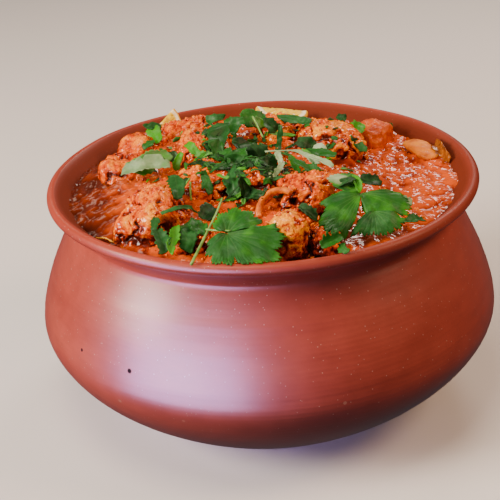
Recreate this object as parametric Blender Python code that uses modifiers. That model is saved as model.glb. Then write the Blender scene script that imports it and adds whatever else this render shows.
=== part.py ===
"""Chicken curry in its clay pot: a round-bellied handi, gravy up to the flare of the rim, and the pieces on top.

Metres, +Z up. The pot stands on its foot with the foot's centre at the origin, and its front faces -Y.
"""

import math
import random

import bmesh
import bpy
from mathutils import Euler, Matrix, Vector, noise

MM = 0.001
GAP = 0.3 * MM  # between pieces that touch

# The pot, turned about Z.
HEIGHT = 112.0 * MM
RIM_RADIUS = 99.8 * MM
LIP_ROUND = 2.6 * MM
NECK_RADIUS = 88.6 * MM
NECK_HEIGHT = 97.0 * MM
BELLY_RADIUS = 108.0 * MM
BELLY_HEIGHT = 48.5 * MM
FOOT_RADIUS = 62.0 * MM
WALL = 5.8 * MM
FLOOR = 7.0 * MM
SHOULDER_POWER = 1.55
BOWL_POWER = 1.8
TURN_STEPS = 32

# The gravy, from the pot's floor to an uneven surface that is heaped in the middle and low at the right.
GRAVY_LEVEL = 104.8 * MM
HEAP_RISE = 10.0 * MM
HEAP_CENTRE = (-14.0 * MM, -2.0 * MM)
HEAP_REACH = (74.0 * MM, 84.0 * MM)
RIPPLE = 1.2 * MM

# Pieces of chicken: name, centre, size over all and turn about X, Y and Z in degrees.
CHICKEN = (
    ("chicken_front_left", (-48, -47, 110), (28, 41, 28), (8, -6, -18)),
    ("chicken_low_left", (-29, -70, 108), (20, 16, 17), (0, 8, -10)),
    ("chicken_left", (-66, 9, 109), (20, 34, 21), (0, -8, 8)),
    ("chicken_far_left", (-57, 42, 109), (24, 21, 17), (0, 0, 38)),
    ("chicken_back_left", (-36, 57, 109), (29, 24, 19), (4, 0, 14)),
    ("chicken_rear", (-27, 21, 112), (26, 35, 25), (0, 6, -16)),
    ("chicken_centre", (-25, -22, 111), (27, 32, 25), (6, 0, 8)),
    ("chicken_middle", (-2, -25, 111), (18, 33, 25), (-8, 0, -6)),
    ("chicken_hollow", (19, -39, 112), (31, 25, 25), (10, 4, 10)),
    ("chicken_front", (10, -74, 109.5), (17, 20, 24), (-6, 0, 6)),
    ("chicken_front_right", (25, -73, 107), (13, 18, 16), (0, -10, 16)),
    ("chicken_back_right", (35, 24, 111), (29, 37, 25), (0, 8, 14)),
    ("chicken_back", (10, 43, 110), (24, 33, 22), (0, 0, -6)),
)

# A soft tomato quarter at the back right, beside the wall.
TOMATO = ("tomato_quarter", (56, 47, 107), (17, 22, 16), (0, 0, -30))

# Fried onion: a flat slice on the gravy, and a curl that hangs over the hollow piece.
ONION_SLICE = ("onion_slice", (78, 28, 107.4), (11, 23, 4.2), (3, -6, 28))
ONION_CURL = ("onion_curl", (6, -57, 117.5), 9.0, 3.4, 5.0)  # name, centre, bend radius, thickness, width

# Lemon: a wedge at the back left and a half slice that leans on the back of the rim.
LEMON_WEDGE = ("lemon_wedge", (-51, 68, 113), 11.0, 6.0, 75.0, (62, 0, 20))
LEMON_SLICE = ("lemon_slice", (12, 83, 111), 14.0, 4.5, 180.0, (-10, 10, -88))

# Leaves: name, centre, reach, thickness, lobes, depth of the lobes, cup, turn about X, Y and Z.
LEAVES = (
    ("coriander_front", (-9, -82, 120.5), 16.5, 0.9, 3, 0.34, 2.0, (24, 4, 12)),
    ("coriander_right", (45, -59, 122), 23.0, 0.9, 3, 0.42, 2.5, (18, 10, -20)),
    ("leaf_pale", (-54, -6, 121), 13.5, 0.9, 2, 0.18, 2.2, (10, -22, 24)),
)

COLORS = {
    "terracotta": ((0.36, 0.09, 0.055), 0.42),
    "gravy": ((0.44, 0.075, 0.012), 0.22),
    "chicken": ((0.60, 0.14, 0.022), 0.38),
    "tomato": ((0.62, 0.10, 0.022), 0.25),
    "onion": ((0.70, 0.24, 0.025), 0.28),
    "lemon": ((0.86, 0.60, 0.09), 0.35),
    "coriander": ((0.035, 0.17, 0.025), 0.42),
}


def mm(values):
    """A point or a size given in millimetres, in metres."""
    return Vector([value * MM for value in values])


def turn_of(degrees):
    return Euler([math.radians(angle) for angle in degrees])


def clear_scene():
    for obj in list(bpy.data.objects):
        bpy.data.objects.remove(obj, do_unlink=True)


def make_collection(name, helper=False):
    collection = bpy.data.collections.new(name)
    collection.hide_render = helper
    bpy.context.scene.collection.children.link(collection)
    return collection


def make_material(name, kind):
    color, roughness = COLORS[kind]
    material = bpy.data.materials.new(name)
    material.use_nodes = True
    shader = material.node_tree.nodes["Principled BSDF"]
    shader.inputs["Base Color"].default_value = (*color, 1.0)
    shader.inputs["Roughness"].default_value = roughness
    shader.inputs["Metallic"].default_value = 0.0
    material.diffuse_color = (*color, 1.0)
    return material


def add_object(name, mesh, collection, kind):
    """An object for the mesh, in the collection, with a material of its own."""
    obj = bpy.data.objects.new(name, mesh)
    collection.objects.link(obj)
    obj.data.materials.append(make_material(name + "_finish", kind))
    return obj


def mesh_from(name, bm):
    bmesh.ops.recalc_face_normals(bm, faces=bm.faces[:])
    mesh = bpy.data.meshes.new(name)
    bm.to_mesh(mesh)
    bm.free()
    return mesh


def curve_between(start, control, end, steps):
    """Points of a quadratic arc after its start, up to and with its end."""
    points = []
    for index in range(1, steps + 1):
        t = index / steps
        r = (1 - t) ** 2 * start[0] + 2 * t * (1 - t) * control[0] + t**2 * end[0]
        z = (1 - t) ** 2 * start[1] + 2 * t * (1 - t) * control[1] + t**2 * end[1]
        points.append((r, z))
    return points


def belly_side(neck, belly, foot, bottom, shoulder_steps, bowl_steps):
    """The side from the neck over the belly down to the height of bottom: the outside or the inside."""
    points = []
    for index in range(shoulder_steps + 1):
        share = 1 - index / shoulder_steps
        z = BELLY_HEIGHT + share * (NECK_HEIGHT - BELLY_HEIGHT)
        points.append((neck + (belly - neck) * (1 - share**SHOULDER_POWER), z))
    for index in range(1, bowl_steps + 1):
        share = index / bowl_steps
        z = BELLY_HEIGHT - share * (BELLY_HEIGHT - bottom)
        points.append((foot + (belly - foot) * (1 - share**BOWL_POWER), z))
    return points


def inner_side():
    """The inside of the pot from the lip's inner edge down to the edge of its floor."""
    edge = (RIM_RADIUS - 2 * LIP_ROUND, HEIGHT - LIP_ROUND)
    neck = NECK_RADIUS - WALL
    flare = curve_between(edge, (neck + 3.4 * MM, HEIGHT - 8.5 * MM), (neck, NECK_HEIGHT), 4)
    side = belly_side(neck, BELLY_RADIUS - WALL, FOOT_RADIUS - 5 * MM, FLOOR, 3, 4)
    return [edge] + flare + side[1:]


def lip_arc(steps):
    """The rounded lip, from its inner edge over the top to the start of the flare below it."""
    points = []
    for index in range(1, steps + 1):
        angle = math.radians(180 - 225 * index / steps)
        r = RIM_RADIUS - LIP_ROUND + LIP_ROUND * math.cos(angle)
        z = HEIGHT - LIP_ROUND + LIP_ROUND * math.sin(angle)
        points.append((r, z))
    return points


def outer_side():
    """The outside of the pot from the lip down to the edge of its flat foot."""
    lip = lip_arc(4)
    neck = (NECK_RADIUS, NECK_HEIGHT)
    flare = curve_between(lip[-1], (NECK_RADIUS + 0.6 * MM, HEIGHT - 9.6 * MM), neck, 4)
    side = belly_side(NECK_RADIUS, BELLY_RADIUS, FOOT_RADIUS + 4 * MM, 3 * MM, 7, 6)
    foot = [(FOOT_RADIUS + 1.6 * MM, 0.9 * MM), (FOOT_RADIUS - 1.4 * MM, 0.0)]
    return lip + flare + side[1:] + foot


def turned(name, profile, collection, kind):
    """The profile, from the axis to the axis, turned once about Z."""
    bm = bmesh.new()
    verts = [bm.verts.new((r, 0.0, z)) for r, z in profile]
    for first, second in zip(verts, verts[1:]):
        bm.edges.new((first, second))
    mesh = bpy.data.meshes.new(name)
    bm.to_mesh(mesh)
    bm.free()
    obj = add_object(name, mesh, collection, kind)
    screw = obj.modifiers.new("Turn", "SCREW")
    screw.axis = "Z"
    screw.angle = math.tau
    screw.steps = TURN_STEPS
    screw.render_steps = TURN_STEPS
    screw.use_merge_vertices = True
    screw.merge_threshold = 0.0001
    screw.use_smooth_shade = True
    return obj


def make_pot(collection):
    inside = list(reversed(inner_side()))
    return turned("pot", [(0.0, FLOOR)] + inside + outer_side() + [(0.0, 0.0)], collection, "terracotta")


def make_room(cutters):
    """The space inside the pot, less the gap, and on up over the rim: what a piece by the wall is cut to."""
    side = [(r - 1.5 * GAP, z) for r, z in inner_side()]
    top = HEIGHT + 0.5 * RIM_RADIUS
    room = turned("room", [(0.0, top), (side[0][0], top)] + side + [(0.0, FLOOR)], cutters, "gravy")
    room.display_type = "WIRE"
    room.hide_render = True
    return room


def heap_height(x, y):
    """How far the gravy stands above its level at the wall."""
    reach = math.hypot((x - HEAP_CENTRE[0]) / HEAP_REACH[0], (y - HEAP_CENTRE[1]) / HEAP_REACH[1])
    share = max(0.0, 1.0 - reach**2)
    ripple = noise.noise(Vector((x, y, 0.0)) * 45.0) * RIPPLE
    return HEAP_RISE * share * (2.0 - share) + ripple


def make_gravy(collection):
    """The gravy, turned to the inside of the pot, with its top raised into the heap."""
    side = [(r - 1.5 * GAP, z) for r, z in inner_side() if z < GRAVY_LEVEL]
    side[-1] = (side[-1][0], FLOOR + GAP)
    edge = side[0][0]
    rings = [(edge * share, GRAVY_LEVEL) for share in (0.0, 0.25, 0.5, 0.72, 0.9)]
    gravy = turned("gravy", rings + side + [(0.0, FLOOR + GAP)], collection, "gravy")
    bpy.context.view_layer.objects.active = gravy
    bpy.ops.object.modifier_apply(modifier="Turn")
    for vertex in gravy.data.vertices:
        if vertex.co.z > GRAVY_LEVEL - 0.01 * MM:
            vertex.co.z += heap_height(vertex.co.x, vertex.co.y)
    return gravy


def lump_cage(name, size, uneven):
    """A box cage of 26 corners pulled about at random, to be rounded by a Subdivision modifier."""
    bm = bmesh.new()
    bmesh.ops.create_cube(bm, size=1.0)
    bmesh.ops.subdivide_edges(bm, edges=bm.edges[:], cuts=1, use_grid_fill=True)
    chance = random.Random(name)
    for vert in bm.verts:
        away = vert.co.normalized()
        pull = 1.0 + uneven * chance.uniform(-0.5, 0.5)
        vert.co = (vert.co * 0.56 + away * 0.30) * pull
    bmesh.ops.scale(bm, verts=bm.verts[:], vec=size)
    return mesh_from(name, bm)


def rounded(obj):
    """Rounds the cage."""
    smooth = obj.modifiers.new("Round", "SUBSURF")
    smooth.levels = 1
    smooth.render_levels = 1
    return obj


def clearance_of(obj, cutters):
    """A cutter: a copy of the piece, grown by the gap on every side."""
    cutter = obj.copy()
    cutter.name = obj.name + "_clearance"
    cutters.objects.link(cutter)
    cutter.display_type = "WIRE"
    cutter.hide_render = True
    for modifier in list(cutter.modifiers):
        if modifier.type == "BOOLEAN":
            cutter.modifiers.remove(modifier)
    grow = cutter.modifiers.new("Grow", "DISPLACE")
    grow.mid_level = 0.0
    grow.strength = 1.6 * GAP
    return cutter


def cut(obj, cutter, operation="DIFFERENCE", solver="EXACT"):
    boolean = obj.modifiers.new("Cut_" + cutter.name, "BOOLEAN")
    boolean.operation = operation
    boolean.solver = solver
    boolean.object = cutter


def make_lump(piece, collection, kind, uneven=0.5):
    """An uneven piece, rounded from its cage and put in its place."""
    name, centre, size, turn = piece
    obj = add_object(name, lump_cage(name, mm(size), uneven), collection, kind)
    obj.location = mm(centre)
    obj.rotation_euler = turn_of(turn)
    return rounded(obj)


def make_curl(piece, collection):
    """A strip of fried onion bent round three quarters of a half circle, standing on edge."""
    name, centre, radius, thickness, width = piece
    bm = bmesh.new()
    rings = []
    steps = 8
    for index in range(steps + 1):
        angle = math.radians(200 - 150 * index / steps)
        taper = 0.55 + 0.45 * math.sin(math.pi * index / steps)
        ring = []
        for corner in range(6):
            around = math.tau * corner / 6
            r = radius + 0.5 * thickness * math.cos(around)
            z = 0.5 * width * taper * math.sin(around)
            ring.append(bm.verts.new(mm((r * math.cos(angle), r * math.sin(angle), z))))
        rings.append(ring)
    for first, second in zip(rings, rings[1:]):
        for corner in range(6):
            after = (corner + 1) % 6
            bm.faces.new((first[corner], first[after], second[after], second[corner]))
    bm.faces.new(rings[0])
    bm.faces.new(rings[-1])
    obj = add_object(name, mesh_from(name, bm), collection, "onion")
    obj.location = mm(centre)
    obj.rotation_euler = turn_of((40, -12, -18))
    return obj


def make_lemon(piece, collection):
    """Part of a round slice of lemon: a disc cut down to the given angle, with its edge bevelled."""
    name, centre, radius, thickness, angle, turn = piece
    bm = bmesh.new()
    bmesh.ops.create_cone(
        bm, cap_ends=True, segments=20, radius1=radius * MM, radius2=radius * MM, depth=thickness * MM
    )
    for side in (-1.0, 1.0):
        normal = Matrix.Rotation(math.radians(0.5 * side * angle), 3, "Z") @ Vector((0.0, side, 0.0))
        whole = bm.verts[:] + bm.edges[:] + bm.faces[:]
        bmesh.ops.bisect_plane(
            bm, geom=whole, plane_co=(0.0, 0.0, 0.0), plane_no=normal, clear_outer=True, dist=1e-6
        )
        bmesh.ops.holes_fill(bm, edges=[edge for edge in bm.edges if edge.is_boundary], sides=0)
    obj = add_object(name, mesh_from(name, bm), collection, "lemon")
    obj.location = mm(centre)
    obj.rotation_euler = turn_of(turn)
    bevel = obj.modifiers.new("Soft_edge", "BEVEL")
    bevel.width = 0.8 * MM
    bevel.segments = 1
    bevel.limit_method = "ANGLE"
    return obj


def leaf_reach(angle, lobes, depth):
    """How far the leaf's edge lies from its middle, as a share: broad lobes with teeth on them."""
    lobe = abs(math.sin(0.5 * lobes * angle)) ** 0.7
    teeth = 0.07 * abs(math.sin(2.5 * lobes * angle))
    return 1.0 - depth * (1.0 - lobe) + teeth - 0.07


def make_leaf(leaf, collection):
    """A leaf with toothed lobes, cupped, as a thin closed plate."""
    name, centre, reach, thickness, lobes, depth, cup, turn = leaf
    steps = 9 * lobes
    bm = bmesh.new()
    middle = bm.verts.new((0.0, 0.0, 0.0))
    rings = []
    for share in (0.5, 1.0):
        ring = []
        for index in range(steps):
            angle = math.tau * index / steps
            r = reach * share * leaf_reach(angle, lobes, depth)
            z = -cup * share**2 * (1.0 + 0.4 * math.sin(3 * angle))
            ring.append(bm.verts.new(mm((r * math.cos(angle), r * math.sin(angle), z))))
        rings.append(ring)
    for index in range(steps):
        after = (index + 1) % steps
        bm.faces.new((middle, rings[0][index], rings[0][after]))
        bm.faces.new((rings[0][index], rings[1][index], rings[1][after], rings[0][after]))
    obj = add_object(name, mesh_from(name, bm), collection, "coriander")
    obj.location = mm(centre)
    obj.rotation_euler = turn_of(turn)
    solid = obj.modifiers.new("Thickness", "SOLIDIFY")
    solid.thickness = thickness * MM
    solid.offset = 0.0
    return obj


def by_the_wall(piece):
    """Whether a piece reaches far enough out to touch the pot."""
    return piece.location.xy.length + 0.5 * max(piece.dimensions.xy) > NECK_RADIUS - WALL


def near(first, second):
    """Whether two pieces come close enough to need a gap cut between them."""
    reach = 0.5 * (max(first.dimensions) + max(second.dimensions))
    return (first.location - second.location).length < reach + GAP


def main():
    clear_scene()
    parts = make_collection("chicken_curry")
    cutters = make_collection("cutters", helper=True)
    make_pot(parts)
    room = make_room(cutters)
    gravy = make_gravy(parts)
    lumps = [make_lump(piece, parts, "chicken") for piece in CHICKEN]
    lumps.append(make_lump(TOMATO, parts, "tomato", uneven=0.3))
    lumps.append(make_lump(ONION_SLICE, parts, "onion", uneven=0.3))
    toppings = [make_curl(ONION_CURL, parts), make_lemon(LEMON_WEDGE, parts), make_lemon(LEMON_SLICE, parts)]
    for leaf in LEAVES:
        toppings.append(make_leaf(leaf, parts))
    bpy.context.view_layer.update()
    settled = []
    for piece in toppings + lumps:
        cutter = clearance_of(piece, cutters)
        if piece in lumps and by_the_wall(piece):
            cut(piece, room, "INTERSECT")
        for earlier, space in settled:
            if piece in lumps and near(piece, earlier):
                cut(piece, space)
        cut(gravy, cutter, solver="MANIFOLD")  # its pockets meet each other, where EXACT leaves nothing
        settled.append((piece, cutter))


if __name__ == "__main__":
    main()
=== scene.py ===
"""Dresses the chicken curry in its clay pot: burnished clay, oily gravy, coated chicken and fresh coriander.

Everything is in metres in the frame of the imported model: +Z up, the pot's foot centred on the origin,
front to -Y.
"""

import logging
import math
import random
from dataclasses import dataclass, field
from enum import Enum

import bmesh
import bpy
from mathutils import Euler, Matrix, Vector, noise
from mathutils.bvhtree import BVHTree

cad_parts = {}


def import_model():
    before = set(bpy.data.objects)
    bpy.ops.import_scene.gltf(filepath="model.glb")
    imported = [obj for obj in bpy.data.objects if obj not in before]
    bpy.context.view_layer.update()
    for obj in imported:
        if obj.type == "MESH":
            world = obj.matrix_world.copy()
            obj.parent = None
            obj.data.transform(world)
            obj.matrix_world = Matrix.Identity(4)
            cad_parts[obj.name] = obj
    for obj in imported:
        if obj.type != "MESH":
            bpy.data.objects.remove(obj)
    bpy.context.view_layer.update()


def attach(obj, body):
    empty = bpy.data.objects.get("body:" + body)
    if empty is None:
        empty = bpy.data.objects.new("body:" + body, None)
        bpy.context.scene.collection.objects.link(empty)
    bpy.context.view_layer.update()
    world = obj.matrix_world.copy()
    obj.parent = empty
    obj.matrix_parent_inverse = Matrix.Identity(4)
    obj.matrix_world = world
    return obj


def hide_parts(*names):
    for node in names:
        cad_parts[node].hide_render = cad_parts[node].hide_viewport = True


LOG = logging.getLogger("chicken_curry")
MM = 0.001
CEILING = 127.0 * MM  # nothing rises above the top of the CAD box
Node, Material, Object = bpy.types.Node, bpy.types.Material, bpy.types.Object
Color = tuple[float, float, float, float]
Pair = tuple[float, float]
Point = tuple[float, float, float]


# ---- Small helpers ----


def linear(code: str) -> Color:
    """Turns an sRGB hex colour into a linear one.

    Args:
        code: The colour as "#rrggbb".

    Returns:
        Linear red, green, blue and an alpha of one.
    """
    channels = [int(code[index : index + 2], 16) / 255 for index in (1, 3, 5)]
    red, green, blue = (c / 12.92 if c <= 0.04045 else ((c + 0.055) / 1.055) ** 2.4 for c in channels)
    return (red, green, blue, 1.0)


def color_of(value: str | float | Color) -> Color:
    """Gives a linear colour from an sRGB hex colour, from a grey's brightness, or as it is.

    Args:
        value: The colour in any of these forms.

    Returns:
        Linear red, green, blue and alpha.
    """
    if isinstance(value, str):
        return linear(value)
    return (value, value, value, 1.0) if isinstance(value, float) else value


def scale_of(size: float) -> float:
    """Gives a pattern's scale from the real size of its features in millimetres."""
    return 1 / (size * MM)


def mm(*values: float) -> Vector:
    """Gives a point stated in millimetres, in metres."""
    return Vector([value * MM for value in values])


def smooth_step(value: float, low: float, high: float) -> float:
    """Rises smoothly from 0 at low to 1 at high."""
    share = min(1.0, max(0.0, (value - low) / (high - low)))
    return share * share * (3.0 - 2.0 * share)


def deselect_all() -> None:
    """Leaves object mode with nothing selected."""
    if bpy.context.mode != "OBJECT":
        bpy.ops.object.mode_set(mode="OBJECT")
    bpy.ops.object.select_all(action="DESELECT")


def select_only(obj: Object) -> None:
    """Makes one object the only selected one, and active.

    Args:
        obj: The object.
    """
    deselect_all()
    obj.select_set(True)
    bpy.context.view_layer.objects.active = obj


def apply_modifiers(obj: Object) -> None:
    """Applies every modifier of the object, in order.

    Args:
        obj: The object.
    """
    select_only(obj)
    for modifier in list(obj.modifiers):
        bpy.ops.object.modifier_apply(modifier=modifier.name)


def edit_whole(obj: Object) -> None:
    """Opens the object for editing, with all of it selected.

    Args:
        obj: The object.
    """
    select_only(obj)
    bpy.ops.object.mode_set(mode="EDIT")
    bpy.ops.mesh.select_all(action="SELECT")


def settle(obj: Object) -> None:
    """Puts the object's place, turn and size into its mesh."""
    select_only(obj)
    bpy.ops.object.transform_apply(location=True, rotation=True, scale=True)


def object_from(name: str, points: list[Vector], faces: list[tuple[int, ...]]) -> Object:
    """Makes a mesh object from points and faces and links it to the scene.

    Args:
        name: The object's name.
        points: Its points, in metres.
        faces: Its faces, as numbers of points.

    Returns:
        The new object.
    """
    mesh = bpy.data.meshes.new(name)
    mesh.from_pydata([tuple(point) for point in points], [], faces)
    mesh.update()
    obj = bpy.data.objects.new(name, mesh)
    bpy.context.scene.collection.objects.link(obj)
    return obj


def start_point(name: str, place: Point) -> Object:
    """Starts a mesh as one point, ready to be extruded along a line, and leaves it active.

    Args:
        name: The object's name.
        place: Where the point is, in metres.

    Returns:
        The new object.
    """
    deselect_all()
    bpy.ops.mesh.primitive_plane_add(size=1 * MM, location=place)
    start = bpy.context.active_object
    start.name = name
    settle(start)
    edit_whole(start)
    bpy.ops.mesh.merge(type="CENTER")
    bpy.ops.object.mode_set(mode="OBJECT")
    return start


def join_all(name: str, objects: list[Object]) -> Object:
    """Joins the objects into one of the given name.

    Args:
        name: The new name.
        objects: The objects, of which there is at least one.

    Returns:
        The one object.
    """
    deselect_all()
    for obj in objects:
        obj.select_set(True)
    bpy.context.view_layer.objects.active = objects[0]
    bpy.ops.object.join()
    joined = bpy.context.view_layer.objects.active
    joined.name = name
    joined.data.name = name
    return joined


def face_outwards(obj: Object) -> None:
    """Merges doubled points and turns every face outwards.

    Args:
        obj: The object.
    """
    edit_whole(obj)
    bpy.ops.mesh.remove_doubles(threshold=1e-6)
    bpy.ops.mesh.normals_make_consistent(inside=False)
    bpy.ops.object.mode_set(mode="OBJECT")


def remeshed_node(node: str, name: str, voxel: float, softness: int) -> Object:
    """Gives a copy of a CAD node's mesh with even small faces and softened facets.

    Args:
        node: The CAD node.
        name: The new piece's name.
        voxel: The size of the faces.
        softness: How many times the corners are evened out.

    Returns:
        The new piece.
    """
    piece = bpy.data.objects.new(name, bpy.data.objects[node].data.copy())
    bpy.context.scene.collection.objects.link(piece)
    face_outwards(piece)
    modifier = piece.modifiers.new("Remesh", "REMESH")
    modifier.mode = "VOXEL"
    modifier.voxel_size = voxel
    soften = piece.modifiers.new("Soften", "SMOOTH")
    soften.factor = 0.5
    soften.iterations = softness
    apply_modifiers(piece)
    return piece


def write_attribute(obj: Object, name: str, values: list[float]) -> None:
    """Stores one number for each point, for the materials to read."""
    layer = obj.data.attributes.new(name, "FLOAT", "POINT")
    layer.data.foreach_set("value", values)


def finish_piece(obj: Object, material: Material, slot: str, *nodes: str) -> None:
    """Shades and dresses a finished piece, lets it ride on the pot and hides the CAD nodes it replaces.

    Args:
        obj: The piece, already in place.
        material: Its finish.
        slot: Not used.
        nodes: The CAD nodes that it replaces.
    """
    obj.data.polygons.foreach_set("use_smooth", [True] * len(obj.data.polygons))
    obj.data.update()
    obj.data.materials.clear()
    obj.data.materials.append(material)
    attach(obj, "root")
    if nodes:
        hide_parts(*nodes)
    LOG.info("%s: %d faces", obj.name, len(obj.data.polygons))


def fractal(point: Vector, scale: float, octaves: int, seed: float) -> float:
    """Gives smooth noise, about -1 to 1, whose largest feature is of the given size in metres."""
    return noise.fractal(point / scale + Vector((seed, seed * 1.7, -seed)), 0.9, 2.1, octaves)


def bumps(point: Vector, size: float, seed: float = 0.0) -> float:
    """Gives rounded bumps of the given size, 1 on their tops and near 0 in the creases between them."""
    distances, _ = noise.voronoi(point / size + Vector((seed, -seed, seed * 0.5)))
    return max(0.0, 1.0 - 1.25 * distances[0] ** 2)


# ---- Finishes ----

# Sockets that share a name go by number. Math: 0, 1 and 2 are its values. Map Range: 0 is the value, 1
# and 2 are where it comes from, 3 and 4 where it goes to. Mix: 0 is the factor, 2 and 3 are its numbers,
# 6 and 7 its colours, and output 2 is the mixed colour.


class Shading:
    """A material's node tree, filled one node at a time."""

    def __init__(self, name: str) -> None:
        """Starts a material that holds only the place on the object.

        Args:
            name: The material's name.
        """
        self.material = bpy.data.materials.new(name)
        self.material.use_nodes = True
        self.tree = self.material.node_tree
        self.tree.nodes.clear()
        self.coords = (self.add("TexCoord"), "Object")

    def add(self, kind: str, inputs: dict | None = None, **settings: object) -> Node:
        """Adds a node with its settings and its links.

        Args:
            kind: The node's type without "ShaderNode".
            inputs: Socket name or number to a value, a hex colour, a node's first output, or (node, output).
            settings: Properties of the node. "stops" holds a colour ramp's (place, colour or grey) pairs.

        Returns:
            The new node.
        """
        node = self.tree.nodes.new("ShaderNode" + kind)
        for index, (place, color) in enumerate(settings.pop("stops", ())):
            elements = node.color_ramp.elements
            element = elements[index] if index < 2 else elements.new(place)
            element.position = place
            element.color = color_of(color)
        for key, value in settings.items():
            setattr(node, key, value)
        for socket, value in (inputs or {}).items():
            source, output = value if isinstance(value, tuple) and len(value) == 2 else (value, 0)
            if isinstance(source, Node):
                self.tree.links.new(source.outputs[output], node.inputs[socket])
            else:
                node.inputs[socket].default_value = linear(value) if isinstance(value, str) else value
        return node

    def output(self, shader: Node) -> Material:
        """Links the shader to the material's output and gives the material."""
        self.add("OutputMaterial", {"Surface": shader})
        return self.material


@dataclass(frozen=True)
class BurnishedClay:
    """Red earthenware, thrown, burnished with a stone and fired unglazed.

    Burnishing leaves a soft wide sheen over faint rings from the wheel. The fired body shows pale grains of
    grog and mica that glitter in the sheen, and a few chips and pits where grains fell out.
    """

    body: str = "#a3412f"
    deep: str = "#963927"
    light: str = "#ad4b38"
    mica: str = "#cc9a8e"
    chip: str = "#b3705e"
    painted_pit_shade: str = "#1c0c0a"
    grease_and_lip_shade: str = "#662406"
    ring_mm: float = 2.2
    mica_mm: float = 1.9
    pits: tuple[tuple[Point, float], ...] = (
        ((-0.0826, -0.0662, 0.0596), 0.9 * MM),
        ((-0.0603, -0.0869, 0.0600), 1.2 * MM),
    )
    chips: tuple[tuple[Point, float], ...] = (
        ((-0.0661, -0.0843, 0.0438), 1.0 * MM),
        ((-0.0384, -0.0993, 0.0417), 0.8 * MM),
        ((0.0291, -0.1037, 0.0492), 0.9 * MM),
    )

    def near_spots(self, shade: Shading, spots: tuple[tuple[Point, float], ...]) -> Node:
        """Gives 1 within the spots and 0 outside them.

        Args:
            shade: The material that is being made.
            spots: Each spot's centre and radius, in metres.

        Returns:
            The node whose first output is the mask.
        """
        mask = shade.add("Math", {0: 0.0, 1: 0.0}, operation="ADD")
        for centre, radius in spots:
            away = shade.add("VectorMath", {0: shade.coords, 1: centre}, operation="DISTANCE")
            edge = shade.add("MapRange", {0: (away, "Value"), 1: radius * 0.75, 2: radius, 3: 1.0, 4: 0.0})
            mask = shade.add("Math", {0: mask, 1: edge}, operation="MAXIMUM")
        return mask

    def build(self) -> Material:
        """Makes the material.

        Returns:
            The finished material.
        """
        shade = Shading("burnished_earthenware")
        add, coords = shade.add, shade.coords
        squash = add("Mapping", {"Vector": coords, "Scale": (1.0, 1.0, 4.0)})
        cloud = add("TexNoise", {"Vector": squash, "Scale": scale_of(60), "Detail": 4.0, "Roughness": 0.55})
        patch = add("TexNoise", {"Vector": coords, "Scale": scale_of(8), "Detail": 5.0, "Roughness": 0.6})
        grit = add("TexNoise", {"Vector": coords, "Scale": scale_of(1.1), "Detail": 2.0})
        base = add("ValToRGB", {0: cloud}, stops=((0.3, self.deep), (0.5, self.body), (0.75, self.light)))
        mottle = add("ValToRGB", {0: patch}, stops=((0.35, 0.93), (0.7, 1.06)))
        mixed = add("Mix", {0: 1.0, 6: base, 7: mottle}, data_type="RGBA", blend_type="MULTIPLY")
        grains = add("TexVoronoi", {"Vector": coords, "Scale": scale_of(self.mica_mm)})
        dot = add("MapRange", {0: (grains, "Distance"), 1: 0.08, 2: 0.15, 3: 1.0, 4: 0.0})
        tint = add("SeparateColor", {0: (grains, "Color")})
        few = add("Math", {0: (tint, "Red"), 1: 0.55}, operation="GREATER_THAN")
        mica = add("Math", {0: dot, 1: few}, operation="MULTIPLY")
        flecked = add("Mix", {0: mica, 6: (mixed, 2), 7: self.mica}, data_type="RGBA")
        chip = self.near_spots(shade, self.chips)
        chipped = add("Mix", {0: chip, 6: (flecked, 2), 7: self.chip}, data_type="RGBA")
        # stain holds the real grease inside the pot and painted shade on the lip's right front.
        stain = (add("Attribute", attribute_name="stain"), "Fac")
        greased_and_lip_shaded = add("Mix", {0: stain, 6: (chipped, 2), 7: self.grease_and_lip_shade}, data_type="RGBA")
        # The pits get a near-black colour: painted shade, where the mesh has no holes.
        pit = self.near_spots(shade, self.pits)
        pitted = add("Mix", {0: pit, 6: (greased_and_lip_shaded, 2), 7: self.painted_pit_shade}, data_type="RGBA")
        height = (add("SeparateXYZ", {0: coords}), "Z")
        turns = add("Math", {0: height, 1: math.tau / (self.ring_mm * MM)}, operation="MULTIPLY")
        wavy = add("Math", {0: cloud, 1: 9.0, 2: turns}, operation="MULTIPLY_ADD")
        rings = add("Math", {0: wavy}, operation="SINE")
        drawn = add("Mapping", {"Vector": coords, "Scale": (1.0, 1.0, 26.0)})
        strokes = add("TexNoise", {"Vector": drawn, "Scale": scale_of(30), "Detail": 3.0})
        gritty = add("Math", {0: grit, 1: 0.9, 2: mica}, operation="MULTIPLY_ADD")
        stroked = add("Math", {0: strokes, 1: 1.6, 2: gritty}, operation="MULTIPLY_ADD")
        relief = add("Math", {0: rings, 1: 0.35, 2: stroked}, operation="MULTIPLY_ADD")
        bump = add("Bump", {"Height": relief, "Strength": 0.22, "Distance": 0.14 * MM})
        sheen = add("ValToRGB", {0: patch}, stops=((0.3, 0.38), (0.75, 0.48)))
        glitter = add("Mix", {0: mica, 2: sheen, 3: 0.14})
        wet = add("Mix", {0: stain, 2: glitter, 3: 0.72})
        dull = add("Mix", {0: pit, 2: wet, 3: 1.0})
        bare = add("Math", {0: stain, 1: pit}, operation="MAXIMUM")
        rubbed = add("MapRange", {0: height, 1: 86 * MM, 2: 97 * MM, 3: 1.0, 4: 0.4})
        glaze = add("Mix", {0: bare, 2: rubbed, 3: 0.0})
        surface = add(
            "BsdfPrincipled",
            {
                "Base Color": (pitted, 2),
                "Roughness": dull,
                "IOR": 1.45,
                "Specular IOR Level": 0.2,
                "Coat Weight": glaze,
                "Coat Roughness": 0.33,
                "Coat IOR": 1.5,
                "Normal": bump,
            },
        )
        return shade.output(surface)


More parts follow.
